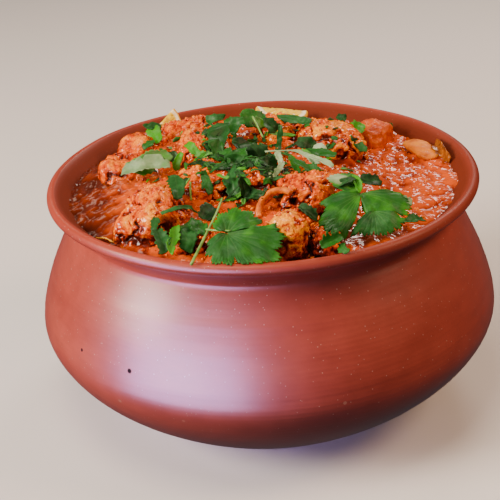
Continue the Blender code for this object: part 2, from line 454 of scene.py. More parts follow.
@dataclass(frozen=True)
class OilyGravy:
    """Tomato and onion gravy cooked until its oil parts.

    The thin parts are dark, clear and mirror-like from the oil, and the thick parts are grainy and lighter,
    with wet glints on every grain.
    """

    oil: str = "#4e1c06"
    deep: str = "#5a1402"
    body: str = "#8e2802"
    pulp: str = "#d65606"
    grain_mm: float = 1.1

    def build(self) -> Material:
        """Makes the material.

        Returns:
            The finished material.
        """
        shade = Shading("oily_tomato_gravy")
        add, coords = shade.add, shade.coords
        # relief also carries the shade that is painted into the gaps between the pieces.
        relief = (add("Attribute", attribute_name="relief"), "Fac")
        thick = (add("Attribute", attribute_name="thick"), "Fac")
        swirl = add("TexNoise", {"Vector": coords, "Scale": scale_of(9), "Detail": 4.0, "Roughness": 0.6})
        grain = add("TexVoronoi", {"Vector": coords, "Scale": scale_of(self.grain_mm)})
        level = add("Math", {0: swirl, 1: 0.55, 2: relief}, operation="MULTIPLY_ADD")
        tone = add("ValToRGB", {0: level}, stops=((0.34, self.deep), (0.62, self.body), (0.95, self.pulp)))
        oiled = add("Mix", {0: thick, 6: self.oil, 7: tone}, data_type="RGBA")
        pulpy = {"Height": (grain, "Distance"), "Strength": 0.1, "Distance": 0.3 * MM}
        bump = add("Bump", pulpy, invert=True)
        surface = add(
            "BsdfPrincipled",
            {
                "Base Color": (oiled, 2),
                "Roughness": add("Mix", {0: thick, 2: 0.22, 3: 0.45}),
                "IOR": 1.4,
                "Specular IOR Level": 0.06,
                "Coat Weight": 0.8,
                "Coat Roughness": 0.13,
                "Coat IOR": 1.46,
                "Normal": bump,
            },
        )
        return shade.output(surface)


@dataclass(frozen=True)
class CoatedChicken:
    """Stewed chicken under a clinging coat of ground onion, chilli and turmeric.

    The coat is grainy and moist: orange where it stands proud, dark red in the creases, partly its own red
    and partly painted shade, and golden where it is thin over the meat.
    """

    name: str = "spiced_chicken"
    crease: str = "#4a1002"
    red: str = "#a62c02"
    orange: str = "#e25a02"
    crest: str = "#fc8802"
    gold: str = "#ffb008"
    grain_mm: float = 0.8

    def build(self) -> Material:
        """Makes the material.

        Returns:
            The finished material.
        """
        shade = Shading(self.name)
        add, coords = shade.add, shade.coords
        # relief carries the painted shade of the crags, the hollow and the gaps between the pieces.
        relief = (add("Attribute", attribute_name="relief"), "Fac")
        warmth = (add("Attribute", attribute_name="warmth"), "Fac")
        stain = add("TexNoise", {"Vector": coords, "Scale": scale_of(5), "Detail": 5.0, "Roughness": 0.68})
        fibres = add("Mapping", {"Vector": coords, "Rotation": (0.3, 0.5, 0.6), "Scale": (1.0, 0.3, 1.0)})
        patch = add("TexNoise", {"Vector": fibres, "Scale": scale_of(6), "Detail": 4.0})
        grain = add("TexVoronoi", {"Vector": coords, "Scale": scale_of(self.grain_mm)})
        lean = add("Math", {0: warmth, 1: 0.5, 2: -0.25}, operation="MULTIPLY_ADD")
        mottled = add("Math", {0: stain, 1: 2.7, 2: -1.3}, operation="MULTIPLY_ADD")
        raised = add("Math", {0: relief, 1: mottled}, operation="ADD")
        level = add("Math", {0: raised, 1: lean}, operation="ADD")
        stops = ((0.0, self.crease), (0.2, self.red), (0.52, self.orange), (0.9, self.crest))
        tone = add("ValToRGB", {0: level}, stops=stops)
        thin = add("Math", {0: patch, 1: warmth}, operation="MULTIPLY")
        bare = add("MapRange", {0: thin, 1: 0.28, 2: 0.4, 3: 0.0, 4: 0.7})
        proud = add("MapRange", {0: level, 1: 0.34, 2: 0.5})
        shown = add("Math", {0: bare, 1: proud}, operation="MULTIPLY")
        golden = add("Mix", {0: shown, 6: tone, 7: self.gold}, data_type="RGBA")
        browned, pale = (0.66, 0.5, 0.4, 1), (1.2, 1.18, 1.1, 1)
        speck = add("ValToRGB", {0: (grain, "Color")}, stops=((0.2, browned), (0.8, pale)))
        spiced = add("Mix", {0: 0.7, 6: (golden, 2), 7: speck}, data_type="RGBA", blend_type="MULTIPLY")
        grainy = {"Height": (grain, "Distance"), "Strength": 0.6, "Distance": 0.3 * MM}
        bump = add("Bump", grainy, invert=True)
        surface = add(
            "BsdfPrincipled",
            {
                "Base Color": (spiced, 2),
                "Roughness": 0.6,
                "IOR": 1.4,
                "Specular IOR Level": 0.04,
                "Coat Weight": 0.65,
                "Coat Roughness": 0.12,
                "Normal": bump,
            },
        )
        return shade.output(surface)


@dataclass(frozen=True)
class CorianderBlade:
    """Fresh coriander blade: thin and waxy, with pale sunken veins and patches of painted bluish sheen."""

    dark: str = "#0d300c"
    teal: str = "#1c541f"
    mid: str = "#1d5f14"
    bright: str = "#42960a"
    pale: str = "#6f9062"
    silver: str = "#a3bc90"
    vein: str = "#7fae62"
    painted_sheen: str = "#559a5c"
    vein_mm: float = 0.4

    def build(self) -> Material:
        """Makes the material.

        Returns:
            The finished material.
        """
        shade = Shading("coriander_blade")
        add, coords = shade.add, shade.coords
        tone = (add("Attribute", attribute_name="tone"), "Fac")
        vein = (add("Attribute", attribute_name="vein"), "Fac")
        cloud = add("TexNoise", {"Vector": coords, "Scale": scale_of(5), "Detail": 4.0, "Roughness": 0.6})
        cells = add("TexNoise", {"Vector": coords, "Scale": scale_of(0.9), "Detail": 2.0})
        shift = add("Math", {0: cloud, 1: 0.34, 2: -0.17}, operation="MULTIPLY_ADD")
        level = add("Math", {0: tone, 1: shift}, operation="ADD")
        greens = (self.dark, self.teal, self.mid, self.bright, self.pale, self.silver)
        color = add("ValToRGB", {0: level}, stops=tuple(zip((0.05, 0.28, 0.46, 0.7, 0.85, 1.0), greens)))
        line = add("MapRange", {0: vein, 1: self.vein_mm * 0.3, 2: self.vein_mm, 3: 0.12, 4: 0.0})
        # Painted sheen: patches of the leaf colour are lifted towards a pale grey-green.
        sheen_patches = add("TexNoise", {"Vector": coords, "Scale": scale_of(7), "Detail": 5.0, "Roughness": 0.65})
        sheen_share = add("MapRange", {0: sheen_patches, 1: 0.48, 2: 0.72, 3: 0.0, 4: 0.3})
        sheened = add("Mix", {0: sheen_share, 6: color, 7: self.painted_sheen}, data_type="RGBA")
        lined = add("Mix", {0: line, 6: (sheened, 2), 7: self.vein}, data_type="RGBA")
        bump = add("Bump", {"Height": cells, "Strength": 0.45, "Distance": 0.2 * MM})
        surface = add(
            "BsdfPrincipled",
            {
                "Base Color": (lined, 2),
                "Roughness": 0.46,
                "IOR": 1.45,
                "Specular IOR Level": 0.24,
                "Subsurface Weight": 0.12,
                "Subsurface Radius": (0.0004, 0.0014, 0.0003),
                "Normal": bump,
            },
        )
        return shade.output(surface)


@dataclass(frozen=True)
class CorianderStalk:
    """Fresh coriander stalk: smooth, juicy and pale green, with fine ridges along it."""

    color: str = "#86b556"
    shade: str = "#5d8f3a"

    def build(self) -> Material:
        """Makes the material.

        Returns:
            The finished material.
        """
        shade = Shading("coriander_stalk")
        streak = shade.add("TexNoise", {"Vector": shade.coords, "Scale": scale_of(3), "Detail": 3.0})
        color = shade.add("ValToRGB", {0: streak}, stops=((0.3, self.shade), (0.65, self.color)))
        bump = shade.add("Bump", {"Height": streak, "Strength": 0.2, "Distance": 0.2 * MM})
        surface = shade.add("BsdfPrincipled", {"Base Color": color, "Roughness": 0.35, "Normal": bump})
        return shade.output(surface)


@dataclass(frozen=True)
class SoftVegetable:
    """Vegetable cooked soft in the gravy, glossy with oil, its own colour showing through a thin red film."""

    name: str
    deep: str
    body: str
    light: str
    patch_mm: float = 4.0
    roughness: float = 0.28
    grain: float = 0.35
    coat: float = 0.15

    def build(self) -> Material:
        """Makes the material.

        Returns:
            The finished material.
        """
        shade = Shading(self.name)
        add, coords = shade.add, shade.coords
        size = scale_of(self.patch_mm)
        cloud = add("TexNoise", {"Vector": coords, "Scale": size, "Detail": 5.0, "Roughness": 0.62})
        grain = add("TexNoise", {"Vector": coords, "Scale": scale_of(0.7), "Detail": 3.0})
        color = add("ValToRGB", {0: cloud}, stops=((0.3, self.deep), (0.5, self.body), (0.72, self.light)))
        bump = add("Bump", {"Height": grain, "Strength": self.grain, "Distance": 0.2 * MM})
        surface = add(
            "BsdfPrincipled",
            {
                "Base Color": color,
                "Roughness": self.roughness,
                "IOR": 1.42,
                "Specular IOR Level": 0.3,
                "Coat Weight": self.coat,
                "Coat Roughness": 0.1,
                "Subsurface Weight": 0.15,
                "Subsurface Radius": (0.002, 0.0008, 0.0003),
                "Normal": bump,
            },
        )
        return shade.output(surface)


@dataclass(frozen=True)
class CutLemon:
    """Cut lemon: waxy yellow rind, white pith and pale wet flesh in segments, touched by the gravy's oil."""

    rind: str = "#ecb400"
    pith: str = "#faf3cc"
    flesh: str = "#f2cc04"
    stain: str = "#f0a000"

    def build(self) -> Material:
        """Makes the material.

        Returns:
            The finished material.
        """
        shade = Shading("cut_lemon")
        add, coords = shade.add, shade.coords
        ring = (add("Attribute", attribute_name="ring"), "Fac")
        pores = add("TexNoise", {"Vector": coords, "Scale": scale_of(0.8), "Detail": 3.0})
        cloud = add("TexNoise", {"Vector": coords, "Scale": scale_of(6), "Detail": 3.0})
        wander = add("Math", {0: cloud, 1: 0.12, 2: ring}, operation="MULTIPLY_ADD")
        layers = (self.pith, self.flesh, self.flesh, self.pith, self.pith, self.rind)
        color = add("ValToRGB", {0: wander}, stops=tuple(zip((0.0, 0.2, 0.8, 0.86, 0.97, 1.0), layers)))
        soak = add("ValToRGB", {0: cloud}, stops=((0.55, 0.0), (0.75, 0.5)))
        stained = add("Mix", {0: soak, 6: color, 7: self.stain}, data_type="RGBA")
        bump = add("Bump", {"Height": pores, "Strength": 0.25, "Distance": 0.2 * MM})
        surface = add(
            "BsdfPrincipled",
            {
                "Base Color": (stained, 2),
                "Roughness": 0.42,
                "IOR": 1.42,
                "Specular IOR Level": 0.25,
                "Subsurface Weight": 0.15,
                "Subsurface Radius": (0.002, 0.0016, 0.0006),
                "Normal": bump,
            },
        )
        return shade.output(surface)


@dataclass(frozen=True)
class PaleFloor:
    """A plain matt studio floor."""

    dim: str = "#e2e1df"
    color: str = "#e9e8e6"

    def build(self) -> Material:
        """Makes the material.

        Returns:
            The finished material.
        """
        shade = Shading("studio_floor")
        cloud = shade.add("TexNoise", {"Vector": shade.coords, "Scale": 3.0})
        tone = shade.add("ValToRGB", {0: cloud}, stops=((0.0, self.dim), (1.0, self.color)))
        matt = {"Base Color": tone, "Roughness": 0.8, "Specular IOR Level": 0.2}
        surface = shade.add("BsdfPrincipled", matt)
        return shade.output(surface)


# ---- The pot ----


@dataclass
class ClayPot:
    """A thrown handi: flat foot, round belly, drawn-in neck and a flared lip, in one clay wall."""

    height: float = 112.0 * MM
    rim: float = 99.8 * MM
    lip_round: float = 2.6 * MM
    neck: float = 88.6 * MM
    neck_height: float = 97.0 * MM
    belly: float = 108.0 * MM
    belly_height: float = 48.5 * MM
    foot: float = 62.0 * MM
    wall: float = 5.8 * MM
    floor: float = 7.0 * MM
    shoulder_power: float = 1.55
    bowl_power: float = 1.8
    lip_inside: float = 122.0
    lip_outside: float = -58.0
    steps: int = 240
    ring_relief: float = 0.1 * MM
    grease_line: Pair = (105.0 * MM, 107.5 * MM)
    soak_fade: Pair = (109.5 * MM, 112.4 * MM)
    lip_shade_side: Pair = (10 * MM, 90 * MM)
    lip_shade_height: Pair = (108.6 * MM, 111.2 * MM)

    def arc(self, start: Pair, control: Pair, end: Pair, steps: int) -> list[Pair]:
        """Gives points of a quadratic arc after its start, up to and with its end.

        Args:
            start: Where it starts, as radius and height.
            control: The point that it leans towards.
            end: Where it ends.
            steps: How many points it gets.

        Returns:
            Radius and height pairs, from the start on.
        """
        points = []
        for index in range(1, steps + 1):
            t = index / steps
            radius = (1 - t) ** 2 * start[0] + 2 * t * (1 - t) * control[0] + t**2 * end[0]
            height = (1 - t) ** 2 * start[1] + 2 * t * (1 - t) * control[1] + t**2 * end[1]
            points.append((radius, height))
        return points

    def side(self, neck: float, belly: float, foot: float, bottom: float, steps: int) -> list[Pair]:
        """Gives the side from the neck over the belly down to the bottom.

        Args:
            neck: The neck's radius.
            belly: The belly's radius.
            foot: The radius at the bottom.
            bottom: The height of the bottom.
            steps: How many steps each half takes.

        Returns:
            Radius and height pairs, from the top down.
        """
        points = []
        for index in range(steps + 1):
            share = 1 - index / steps
            z = self.belly_height + share * (self.neck_height - self.belly_height)
            points.append((neck + (belly - neck) * (1 - share**self.shoulder_power), z))
        for index in range(1, steps + 1):
            share = index / steps
            z = self.belly_height - share * (self.belly_height - bottom)
            points.append((foot + (belly - foot) * (1 - share**self.bowl_power), z))
        return points

    def lip(self, first: float, last: float, steps: int) -> list[Pair]:
        """Gives the round of the lip between two angles in degrees, from the inside over the top.

        Args:
            first: The first angle.
            last: The last angle.
            steps: How many steps lie between them.

        Returns:
            Radius and height pairs.
        """
        points = []
        for index in range(steps + 1):
            angle = math.radians(first + (last - first) * index / steps)
            radius = self.rim - self.lip_round + self.lip_round * math.cos(angle)
            points.append((radius, self.height - self.lip_round + self.lip_round * math.sin(angle)))
        return points

    def inner(self) -> list[Pair]:
        """Gives the inside from the lip's inner edge down to the edge of the floor.

        Returns:
            Radius and height pairs, from the top down.
        """
        edge = self.lip(self.lip_inside, self.lip_inside, 1)[0]
        neck = self.neck - self.wall
        flare = self.arc(edge, (neck + 2.6 * MM, self.height - 9.3 * MM), (neck, self.neck_height), 16)
        side = self.side(neck, self.belly - self.wall, self.foot - 5 * MM, self.floor, 10)
        return [edge] + flare + side[1:]

    def outer(self) -> list[Pair]:
        """Gives the lip and the outside down to the edge of the foot.

        Returns:
            Radius and height pairs, from the top down.
        """
        lip = self.lip(self.lip_inside, self.lip_outside, 16)[1:]
        start = (self.neck + 0.6 * MM, self.height - 9.6 * MM)
        flare = self.arc(lip[-1], start, (self.neck, self.neck_height), 14)
        side = self.side(self.neck, self.belly, self.foot + 4 * MM, 3 * MM, 30)
        foot = self.arc(side[-1], (self.foot + 1.0 * MM, 0.0), (self.foot - 1.6 * MM, 0.0), 4)
        return lip + flare + side[1:] + foot

    def wall_radius(self, height: float) -> float:
        """Gives the inside radius at a height above the neck.

        Args:
            height: The height in metres.

        Returns:
            The radius in metres.
        """
        line = [point for point in self.inner() if point[1] > self.neck_height - 20 * MM]
        for (r0, z0), (r1, z1) in zip(line, line[1:]):
            if z1 <= height <= z0:
                return r1 + (r0 - r1) * (height - z1) / (z0 - z1)
        return line[0][0]

    def build(self) -> Object:
        """Spins the profile, roughens it as a thrower's hands do, and dresses it.

        Returns:
            The pot.
        """
        profile = [(0.0, self.floor)] + list(reversed(self.inner())) + self.outer() + [(0.0, 0.0)]
        pot = start_point("clay_pot", (profile[0][0], 0.0, profile[0][1]))
        edit_whole(pot)
        for (r0, z0), (r1, z1) in zip(profile, profile[1:]):
            bpy.ops.mesh.extrude_region_move(TRANSFORM_OT_translate={"value": (r1 - r0, 0.0, z1 - z0)})
        bpy.ops.mesh.select_all(action="SELECT")
        bpy.ops.mesh.spin(steps=self.steps, angle=math.tau, center=(0, 0, 0), axis=(0, 0, 1))
        bpy.ops.object.mode_set(mode="OBJECT")
        face_outwards(pot)
        self.hand_finish(pot)
        finish_piece(pot, BurnishedClay().build(), "terracotta", "pot")
        return pot

    def hand_finish(self, pot: Object) -> None:
        """Adds faint throwing rings, the lip's slow waver, grease above the gravy and painted shade on the
        lip.

        Args:
            pot: The spun pot.
        """
        stain = []
        for vertex in pot.data.vertices:
            co = vertex.co
            radius = math.hypot(co.x, co.y)
            within = co.z > self.neck_height and radius < self.wall_radius(co.z) + 0.3 * MM
            splash = fractal(co, 9 * MM, 3, 4.0)
            low = 1.0 - smooth_step(co.z + splash * 2.0 * MM, *self.grease_line)
            soaked = 0.9 - 0.45 * smooth_step(co.z, *self.soak_fade)
            # Painted shade: the grease colour, at a little over half, darkens the outside of the lip's right
            # front.
            lip_shade = smooth_step(co.x - 0.4 * co.y, *self.lip_shade_side) * smooth_step(co.z, *self.lip_shade_height)
            stain.append(max(low, soaked) if within else 0.55 * lip_shade)
            if radius > 1 * MM and co.z > 1.0 * MM:
                outward = Vector((co.x, co.y, 0.0)) / radius
                ring = noise.noise(Vector((0.0, 0.0, co.z * 260.0)))
                sway = noise.noise(Vector((co.x * 14, co.y * 14, co.z * 60)))
                co -= outward * self.ring_relief * (1.0 + ring + 0.8 * sway)
            if co.z > self.neck_height:
                top = smooth_step(co.z, self.neck_height, self.height)
                co.z += 0.35 * MM * top * noise.noise(Vector((co.x * 26, co.y * 26, 5.0)))
        write_attribute(pot, "stain", stain)


# ---- The gravy ----


@dataclass
class GravyBed:
    """The gravy: a closed body that fills the pot into its wall, with a grainy, heaped top."""

    level: float = 105.2 * MM
    reach: float = 91.5 * MM
    cell: float = 0.6 * MM
    rise: float = 10.0 * MM
    pool_edge: Pair = (-78 * MM, -56 * MM)
    rim_edge: Pair = (93 * MM, 86 * MM)
    swell_size: float = 16 * MM
    lump_size: float = 6.0 * MM
    grain_size: float = 2.8 * MM
    warp: float = 1.6 * MM
    heap_centre: Pair = (-14.0 * MM, -2.0 * MM)
    heap_reach: Pair = (74.0 * MM, 84.0 * MM)
    below: tuple[Pair, ...] = ((97, 84), (75, 98), (48, 104), (34, 99), (20, 85), (8, 60))

    def thickness(self, x: float, y: float) -> float:
        """Says how thick the gravy is, from 0 in the oily pool at the left to 1 in the pulp.

        Args:
            x: The place's x.
            y: The place's y.

        Returns:
            The share of thick gravy.
        """
        drift = 9 * MM * noise.noise(Vector((x * 40, y * 40, 3.0)))
        pool = smooth_step(x + 1.6 * drift, *self.pool_edge)
        rim = smooth_step(math.hypot(x, y) + 0.4 * drift, *self.rim_edge)
        return (0.34 + 0.66 * pool) * (0.6 + 0.4 * rim)

    def heap(self, x: float, y: float) -> float:
        """Gives the broad rise of the gravy above its level.

        Args:
            x: The place's x.
            y: The place's y.

        Returns:
            The rise in metres.
        """
        across = (x - self.heap_centre[0]) / self.heap_reach[0]
        along = (y - self.heap_centre[1]) / self.heap_reach[1]
        share = max(0.0, 1.0 - across**2 - along**2)
        return self.rise * share * (2.0 - share)

    def relief(self, x: float, y: float) -> tuple[float, float]:
        """Gives the small relief as a height, and as a share from 0 in a crease to 1 on a crest.

        Args:
            x: The place's x.
            y: The place's y.

        Returns:
            The height in metres and the share.
        """
        thick = self.thickness(x, y)
        here = Vector((x, y, 0.0))
        swell = fractal(here, self.swell_size, 3, 2.0)
        drift = [fractal(here, self.lump_size, 2, seed) for seed in (5.0, 8.0)]
        warped = here + Vector((*drift, 0.0)) * self.warp
        lump = bumps(warped, self.lump_size, 1.0)
        grain = bumps(warped, self.grain_size, 3.0)
        rough = 0.9 + 0.1 * thick
        height = (0.9 + 0.6 * thick) * swell * MM + rough * (1.7 * lump + 0.5 * grain - 1.1) * MM
        share = 0.16 + 0.4 * swell + rough * (0.46 * lump + 0.2 * grain) - 0.5 * (1.0 - thick)
        return height, share

    def build(self) -> Object:
        """Raises the top out of a grid, closes it down to the floor of the pot, and dresses it.

        Returns:
            The gravy.
        """
        count = int(2 * self.reach / self.cell)
        deselect_all()
        bpy.ops.mesh.primitive_grid_add(
            x_subdivisions=count, y_subdivisions=count, size=2 * self.reach, location=(0, 0, self.level)
        )
        gravy = bpy.context.active_object
        gravy.name = "gravy_bed"
        settle(gravy)
        body = bmesh.new()
        body.from_mesh(gravy.data)
        outside = [vert for vert in body.verts if vert.co.xy.length > self.reach]
        bmesh.ops.delete(body, geom=outside, context="VERTS")
        for vert in body.verts:
            height, _ = self.relief(vert.co.x, vert.co.y)
            vert.co.z += self.heap(vert.co.x, vert.co.y) + height
        self.close_below(body)
        body.to_mesh(gravy.data)
        body.free()
        places = [vertex.co.xy for vertex in gravy.data.vertices]
        write_attribute(gravy, "relief", [self.relief(*place)[1] for place in places])
        write_attribute(gravy, "thick", [self.thickness(*place) for place in places])
        finish_piece(gravy, OilyGravy().build(), "gravy", "gravy")
        return gravy

    def close_below(self, body: bmesh.types.BMesh) -> None:
        """Extrudes the edge of the top down the rings below it, and closes it at the pot's floor.

        Args:
            body: The open top.
        """
        for height, radius in self.below:
            edges = [edge for edge in body.edges if edge.is_boundary]
            made = bmesh.ops.extrude_edge_only(body, edges=edges)
            for item in made["geom"]:
                if isinstance(item, bmesh.types.BMVert):
                    outward = item.co.xy.normalized()
                    item.co = Vector((outward.x * radius * MM, outward.y * radius * MM, height * MM))
        edges = [edge for edge in body.edges if edge.is_boundary]
        bmesh.ops.edgeloop_fill(body, edges=edges)
        bmesh.ops.recalc_face_normals(body, faces=body.faces[:])


# ---- The chicken ----


@dataclass
class ChickenPiece:
    """One piece of chicken, torn and coated: the CAD lump remeshed and given its fibres, folds and grains."""

    node: str
    warmth: float = 0.5
    seed: float = 0.0
    hollows: tuple[tuple[Point, float, float], ...] = ()
    voxel: float = 0.55 * MM
    fold: float = 2.6 * MM
    crag: float = 1.7 * MM
    lump: float = 0.6 * MM
    grain: float = 0.38 * MM
    drift_size: float = 9 * MM
    fold_size: float = 14 * MM
    crag_size: float = 10 * MM
    lump_size: float = 4.2 * MM
    grain_size: float = 1.7 * MM
    soft_top: float = 2 * MM
    softness: int = 6

    def build(self, material: Material) -> Object:
        """Makes the piece from its CAD node.

        Args:
            material: The chicken's finish.

        Returns:
            The piece.
        """
        piece = remeshed_node(self.node, self.node + "_flesh", self.voxel, self.softness)
        self.roughen(piece)
        finish_piece(piece, material, "chicken", self.node)
        return piece

    def roughen(self, piece: Object) -> None:
        """Moves each point along its normal for the folds, crags and grains, and stores how proud it stands.

        Args:
            piece: The smooth piece.
        """
        moves, relief = [], []
        for vertex in piece.data.vertices:
            here = vertex.co
            drift = [fractal(here, self.drift_size, 2, self.seed + more) for more in (3, 7)]
            warped = here + Vector((*drift, 0.0)) * 2.5 * MM
            fold = fractal(here, self.fold_size, 2, self.seed)
            crag = 1.0 - min(1.0, 2.6 * abs(fractal(warped, self.crag_size, 3, self.seed + 11)))
            lump = bumps(warped, self.lump_size, self.seed)
            grain = bumps(warped, self.grain_size, self.seed + 5)
            height = (
                self.fold * fold
                - self.crag * crag**2
                + self.lump * (lump - 0.6)
                + self.grain * (grain - 0.5)
            )
            dip = 0.0
            for place, reach, depth in self.hollows:
                away = (here - mm(*place)).length / (reach * MM)
                dip = max(dip, depth * MM * (1.0 - smooth_step(away, 0.35, 1.0)))
            moves.append(vertex.normal * (height - dip))
            # Lower in the crags and the hollow: painted shade, on top of the real hollows.
            relief.append(
                0.42 + 0.22 * fold - 0.34 * crag**2 + 0.26 * (lump - 0.5) + 0.3 * (grain - 0.5) - 90 * dip
            )
        for vertex, move in zip(piece.data.vertices, moves):
            vertex.co += move
            over = (vertex.co.z - CEILING) / self.soft_top + 1.0
            if over > 0.0:
                vertex.co.z = CEILING - self.soft_top * math.exp(-over)
        write_attribute(piece, "relief", relief)
        write_attribute(piece, "warmth", [self.warmth] * len(relief))


@dataclass
class ChickenHeap:
    """The thirteen pieces of chicken, from dull red through orange to golden where the coat is thin."""

    warmths: tuple[tuple[str, float], ...] = (
        ("front_left", 0.64),
        ("low_left", 0.42),
        ("left", 0.5),
        ("far_left", 0.5),
        ("back_left", 0.52),
        ("rear", 0.55),
        ("centre", 0.56),
        ("middle", 0.3),
        ("hollow", 0.42),
        ("front", 0.82),
        ("front_right", 0.3),
        ("back_right", 0.66),
        ("back", 0.6),
    )

    def build(self) -> list[Object]:
        """Makes the pieces. The hollow one has a dark hole, and the front one a smoother face.

        Returns:
            The pieces.
        """
        material = CoatedChicken().build()
        pieces = []
        for index, (place, warmth) in enumerate(self.warmths):
            hollows = (((13, -55, 120), 3.6, 5.5),) if place == "hollow" else ()
            smoother = {"crag": 0.4 * MM, "grain": 0.15 * MM} if place == "front" else {}
            piece = ChickenPiece("chicken_" + place, warmth, 3.1 * index, hollows, **smoother)
            pieces.append(piece.build(material))
        return pieces


# ---- Tomato, onion and lemon ----


@dataclass
class SoftTopping:
    """A cooked topping: its CAD solid rounded, and dimpled as soft vegetable is."""

    node: str
    name: str
    slot: str
    finish: SoftVegetable
    voxel: float = 0.6 * MM
    dimple: float = 0.7 * MM
    dimple_size: float = 5.0 * MM
    ridge: float = 0.0
    ridge_size: float = 0.75 * MM
    soften: int = 4

    def build(self) -> Object:
        """Makes the topping from its CAD node.

        Returns:
            The topping.
        """
        piece = remeshed_node(self.node, self.name, self.voxel, self.soften)
        for vertex in piece.data.vertices:
            swell = fractal(vertex.co, self.dimple_size, 3, 6.0)
            stripe = math.sin((vertex.co.x * 0.6 + vertex.co.y) / self.ridge_size) * self.ridge
            vertex.co += vertex.normal * (self.dimple * swell - 0.2 * self.dimple + stripe)
        finish_piece(piece, self.finish.build(), self.slot, self.node)
        return piece


@dataclass
class LemonPiece:
    """A wedge or a slice of lemon, its rind, pith and flesh told apart by how far they lie from its core."""

    node: str
    name: str
    core: Point
    turn: Point
    radius: float
    voxel: float = 0.45 * MM
    softness: int = 3
    flesh_between: Pair = (0.2, 0.82)
    cell_size: float = 1.6 * MM
    cell_depth: float = 0.35 * MM
    segment_depth: float = 0.5 * MM

    def build(self, material: Material) -> Object:
        """Makes the piece from its CAD node.

        Args:
            material: The lemon's finish.

        Returns:
            The piece.
        """
        piece = remeshed_node(self.node, self.name, self.voxel, self.softness)
        facing = Euler([math.radians(angle) for angle in self.turn]).to_matrix().inverted()
        rings = []
        for vertex in piece.data.vertices:
            local = facing @ (vertex.co - mm(*self.core))
            reach = math.hypot(local.x, local.y) / (self.radius * MM)
            spoke = abs(math.sin(4 * math.atan2(local.y, local.x))) ** 0.4
            flesh = self.flesh_between[0] < reach < self.flesh_between[1]
            cell = self.cell_depth * (bumps(local, self.cell_size) < 0.5)
            vertex.co -= vertex.normal * (self.segment_depth * (1.0 - spoke) + cell) * flesh
            rings.append(min(1.0, reach * 1.02 if spoke > 0.45 or not flesh else 0.9))
        write_attribute(piece, "ring", rings)
        finish_piece(piece, material, "lemon", self.node)
        return piece


# ---- Coriander ----


class LeafTone(Enum):
    """How green a leaf is: its place on the leaf material's colour ramp."""

    DARK = 0.08
    TEAL = 0.28
    MID = 0.42
    FRESH = 0.5
    BRIGHT = 0.72
    PALE = 0.87
    SILVER = 1.0


class LeafCut(Enum):
    """What the edge of a piece of leaf is like."""

    STRIP = "torn or cut, and nearly smooth"
    TOOTHED = "grown, with small round teeth"


@dataclass(frozen=True)
class Leaf:
    """One piece of leaf: where it starts and ends in millimetres, and how it is shaped."""

    base: Point
    tip: Point
    width: float
    tone: LeafTone
    cut: LeafCut = LeafCut.STRIP
    rise: float = 0.6
    curl: float = 0.25
    facing: Point = (0.0, -0.55, 0.83)
    sway: float = 0.0


@dataclass(frozen=True)
class Finger:
    """One rounded tip of a whole leaf.

    Its angle is in degrees from the leaf's first direction, its length in millimetres from the leaf's
    middle, and cleft is the share of the length that the cut before the next finger takes away.
    """

    angle: float
    length: float
    cleft: float = 0.12
    tone: LeafTone = LeafTone.MID
    lift: float = 0.0


@dataclass(frozen=True)
class WholeLeaf:
    """A grown leaf: the middle that its veins run from, in millimetres, and its fingers in order round it."""

    middle: Point
    fingers: tuple[Finger, ...]
    facing: Point = (0.0, -0.5, 0.87)
    along: Point = (1.0, 0.0, 0.0)
    dome: float = 0.8
    droop: float = 1.0


class Surface:
    """What lies under the herbs, to rest them on."""

    def __init__(self, pieces: list[Object]) -> None:
        """Gathers the faces of the finished pieces that herbs may rest on.

        Args:
            pieces: The pieces.
        """
        points: list[Vector] = []
        faces: list[list[int]] = []
        for piece in pieces:
            start = len(points)
            points.extend(vertex.co.copy() for vertex in piece.data.vertices)
            faces.extend([start + index for index in polygon.vertices] for polygon in piece.data.polygons)
        self.tree = BVHTree.FromPolygons(points, faces)

    def push(self, place: Vector, facing: Vector, gap: float, reach: float = 14 * MM) -> float:
        """Says how far a point, buried up to reach deep, moves along facing to stand clear by the gap."""
        _, _, _, distance = self.tree.ray_cast(place + facing * reach, -facing, reach + gap)
        return 0.0 if distance is None else max(0.0, reach - distance + gap)

    def drop(self, x: float, y: float) -> tuple[Vector, Vector] | None:
        """Gives the place and the normal of what a thing dropped at x, y lands on."""
        place, normal, _, _ = self.tree.ray_cast(Vector((x, y, 0.2)), Vector((0, 0, -1)))
        return None if place is None else (place, normal)


@dataclass
class PaintedGapShade:
    """Painted shade in the gaps between the pieces and on the sides that lie below others."""

    reach: float = 14.0 * MM
    depth: float = 0.62
    gain: float = 1.7
    lift: float = 0.04
    slants: int = 5
    slope: float = 0.75

    def darken(self, pieces: list[Object]) -> None:
        """Paints shade by lowering each piece's relief attribute where the food round it closes it in.

        Args:
            pieces: The gravy and the chicken.
        """
        tree = Surface(pieces).tree
        ways = [Vector((0.0, 0.0, 1.0))]
        for index in range(self.slants):
            turn = math.tau * index / self.slants
            ways.append(Vector((math.cos(turn), math.sin(turn), self.slope)).normalized())
        for piece in pieces:
            closed = []
            for vertex in piece.data.vertices:
                start = vertex.co + (vertex.normal + ways[0]) * 0.5 * MM
                blocked = 0.0
                for way in ways:
                    distance = tree.ray_cast(start, way, self.reach)[3]
                    blocked += 0.0 if distance is None else 1.0 - distance / self.reach
                closed.append(blocked / len(ways))
            for item, share in zip(piece.data.attributes["relief"].data, closed):
                item.value += self.lift - self.depth * min(1.0, self.gain * share)


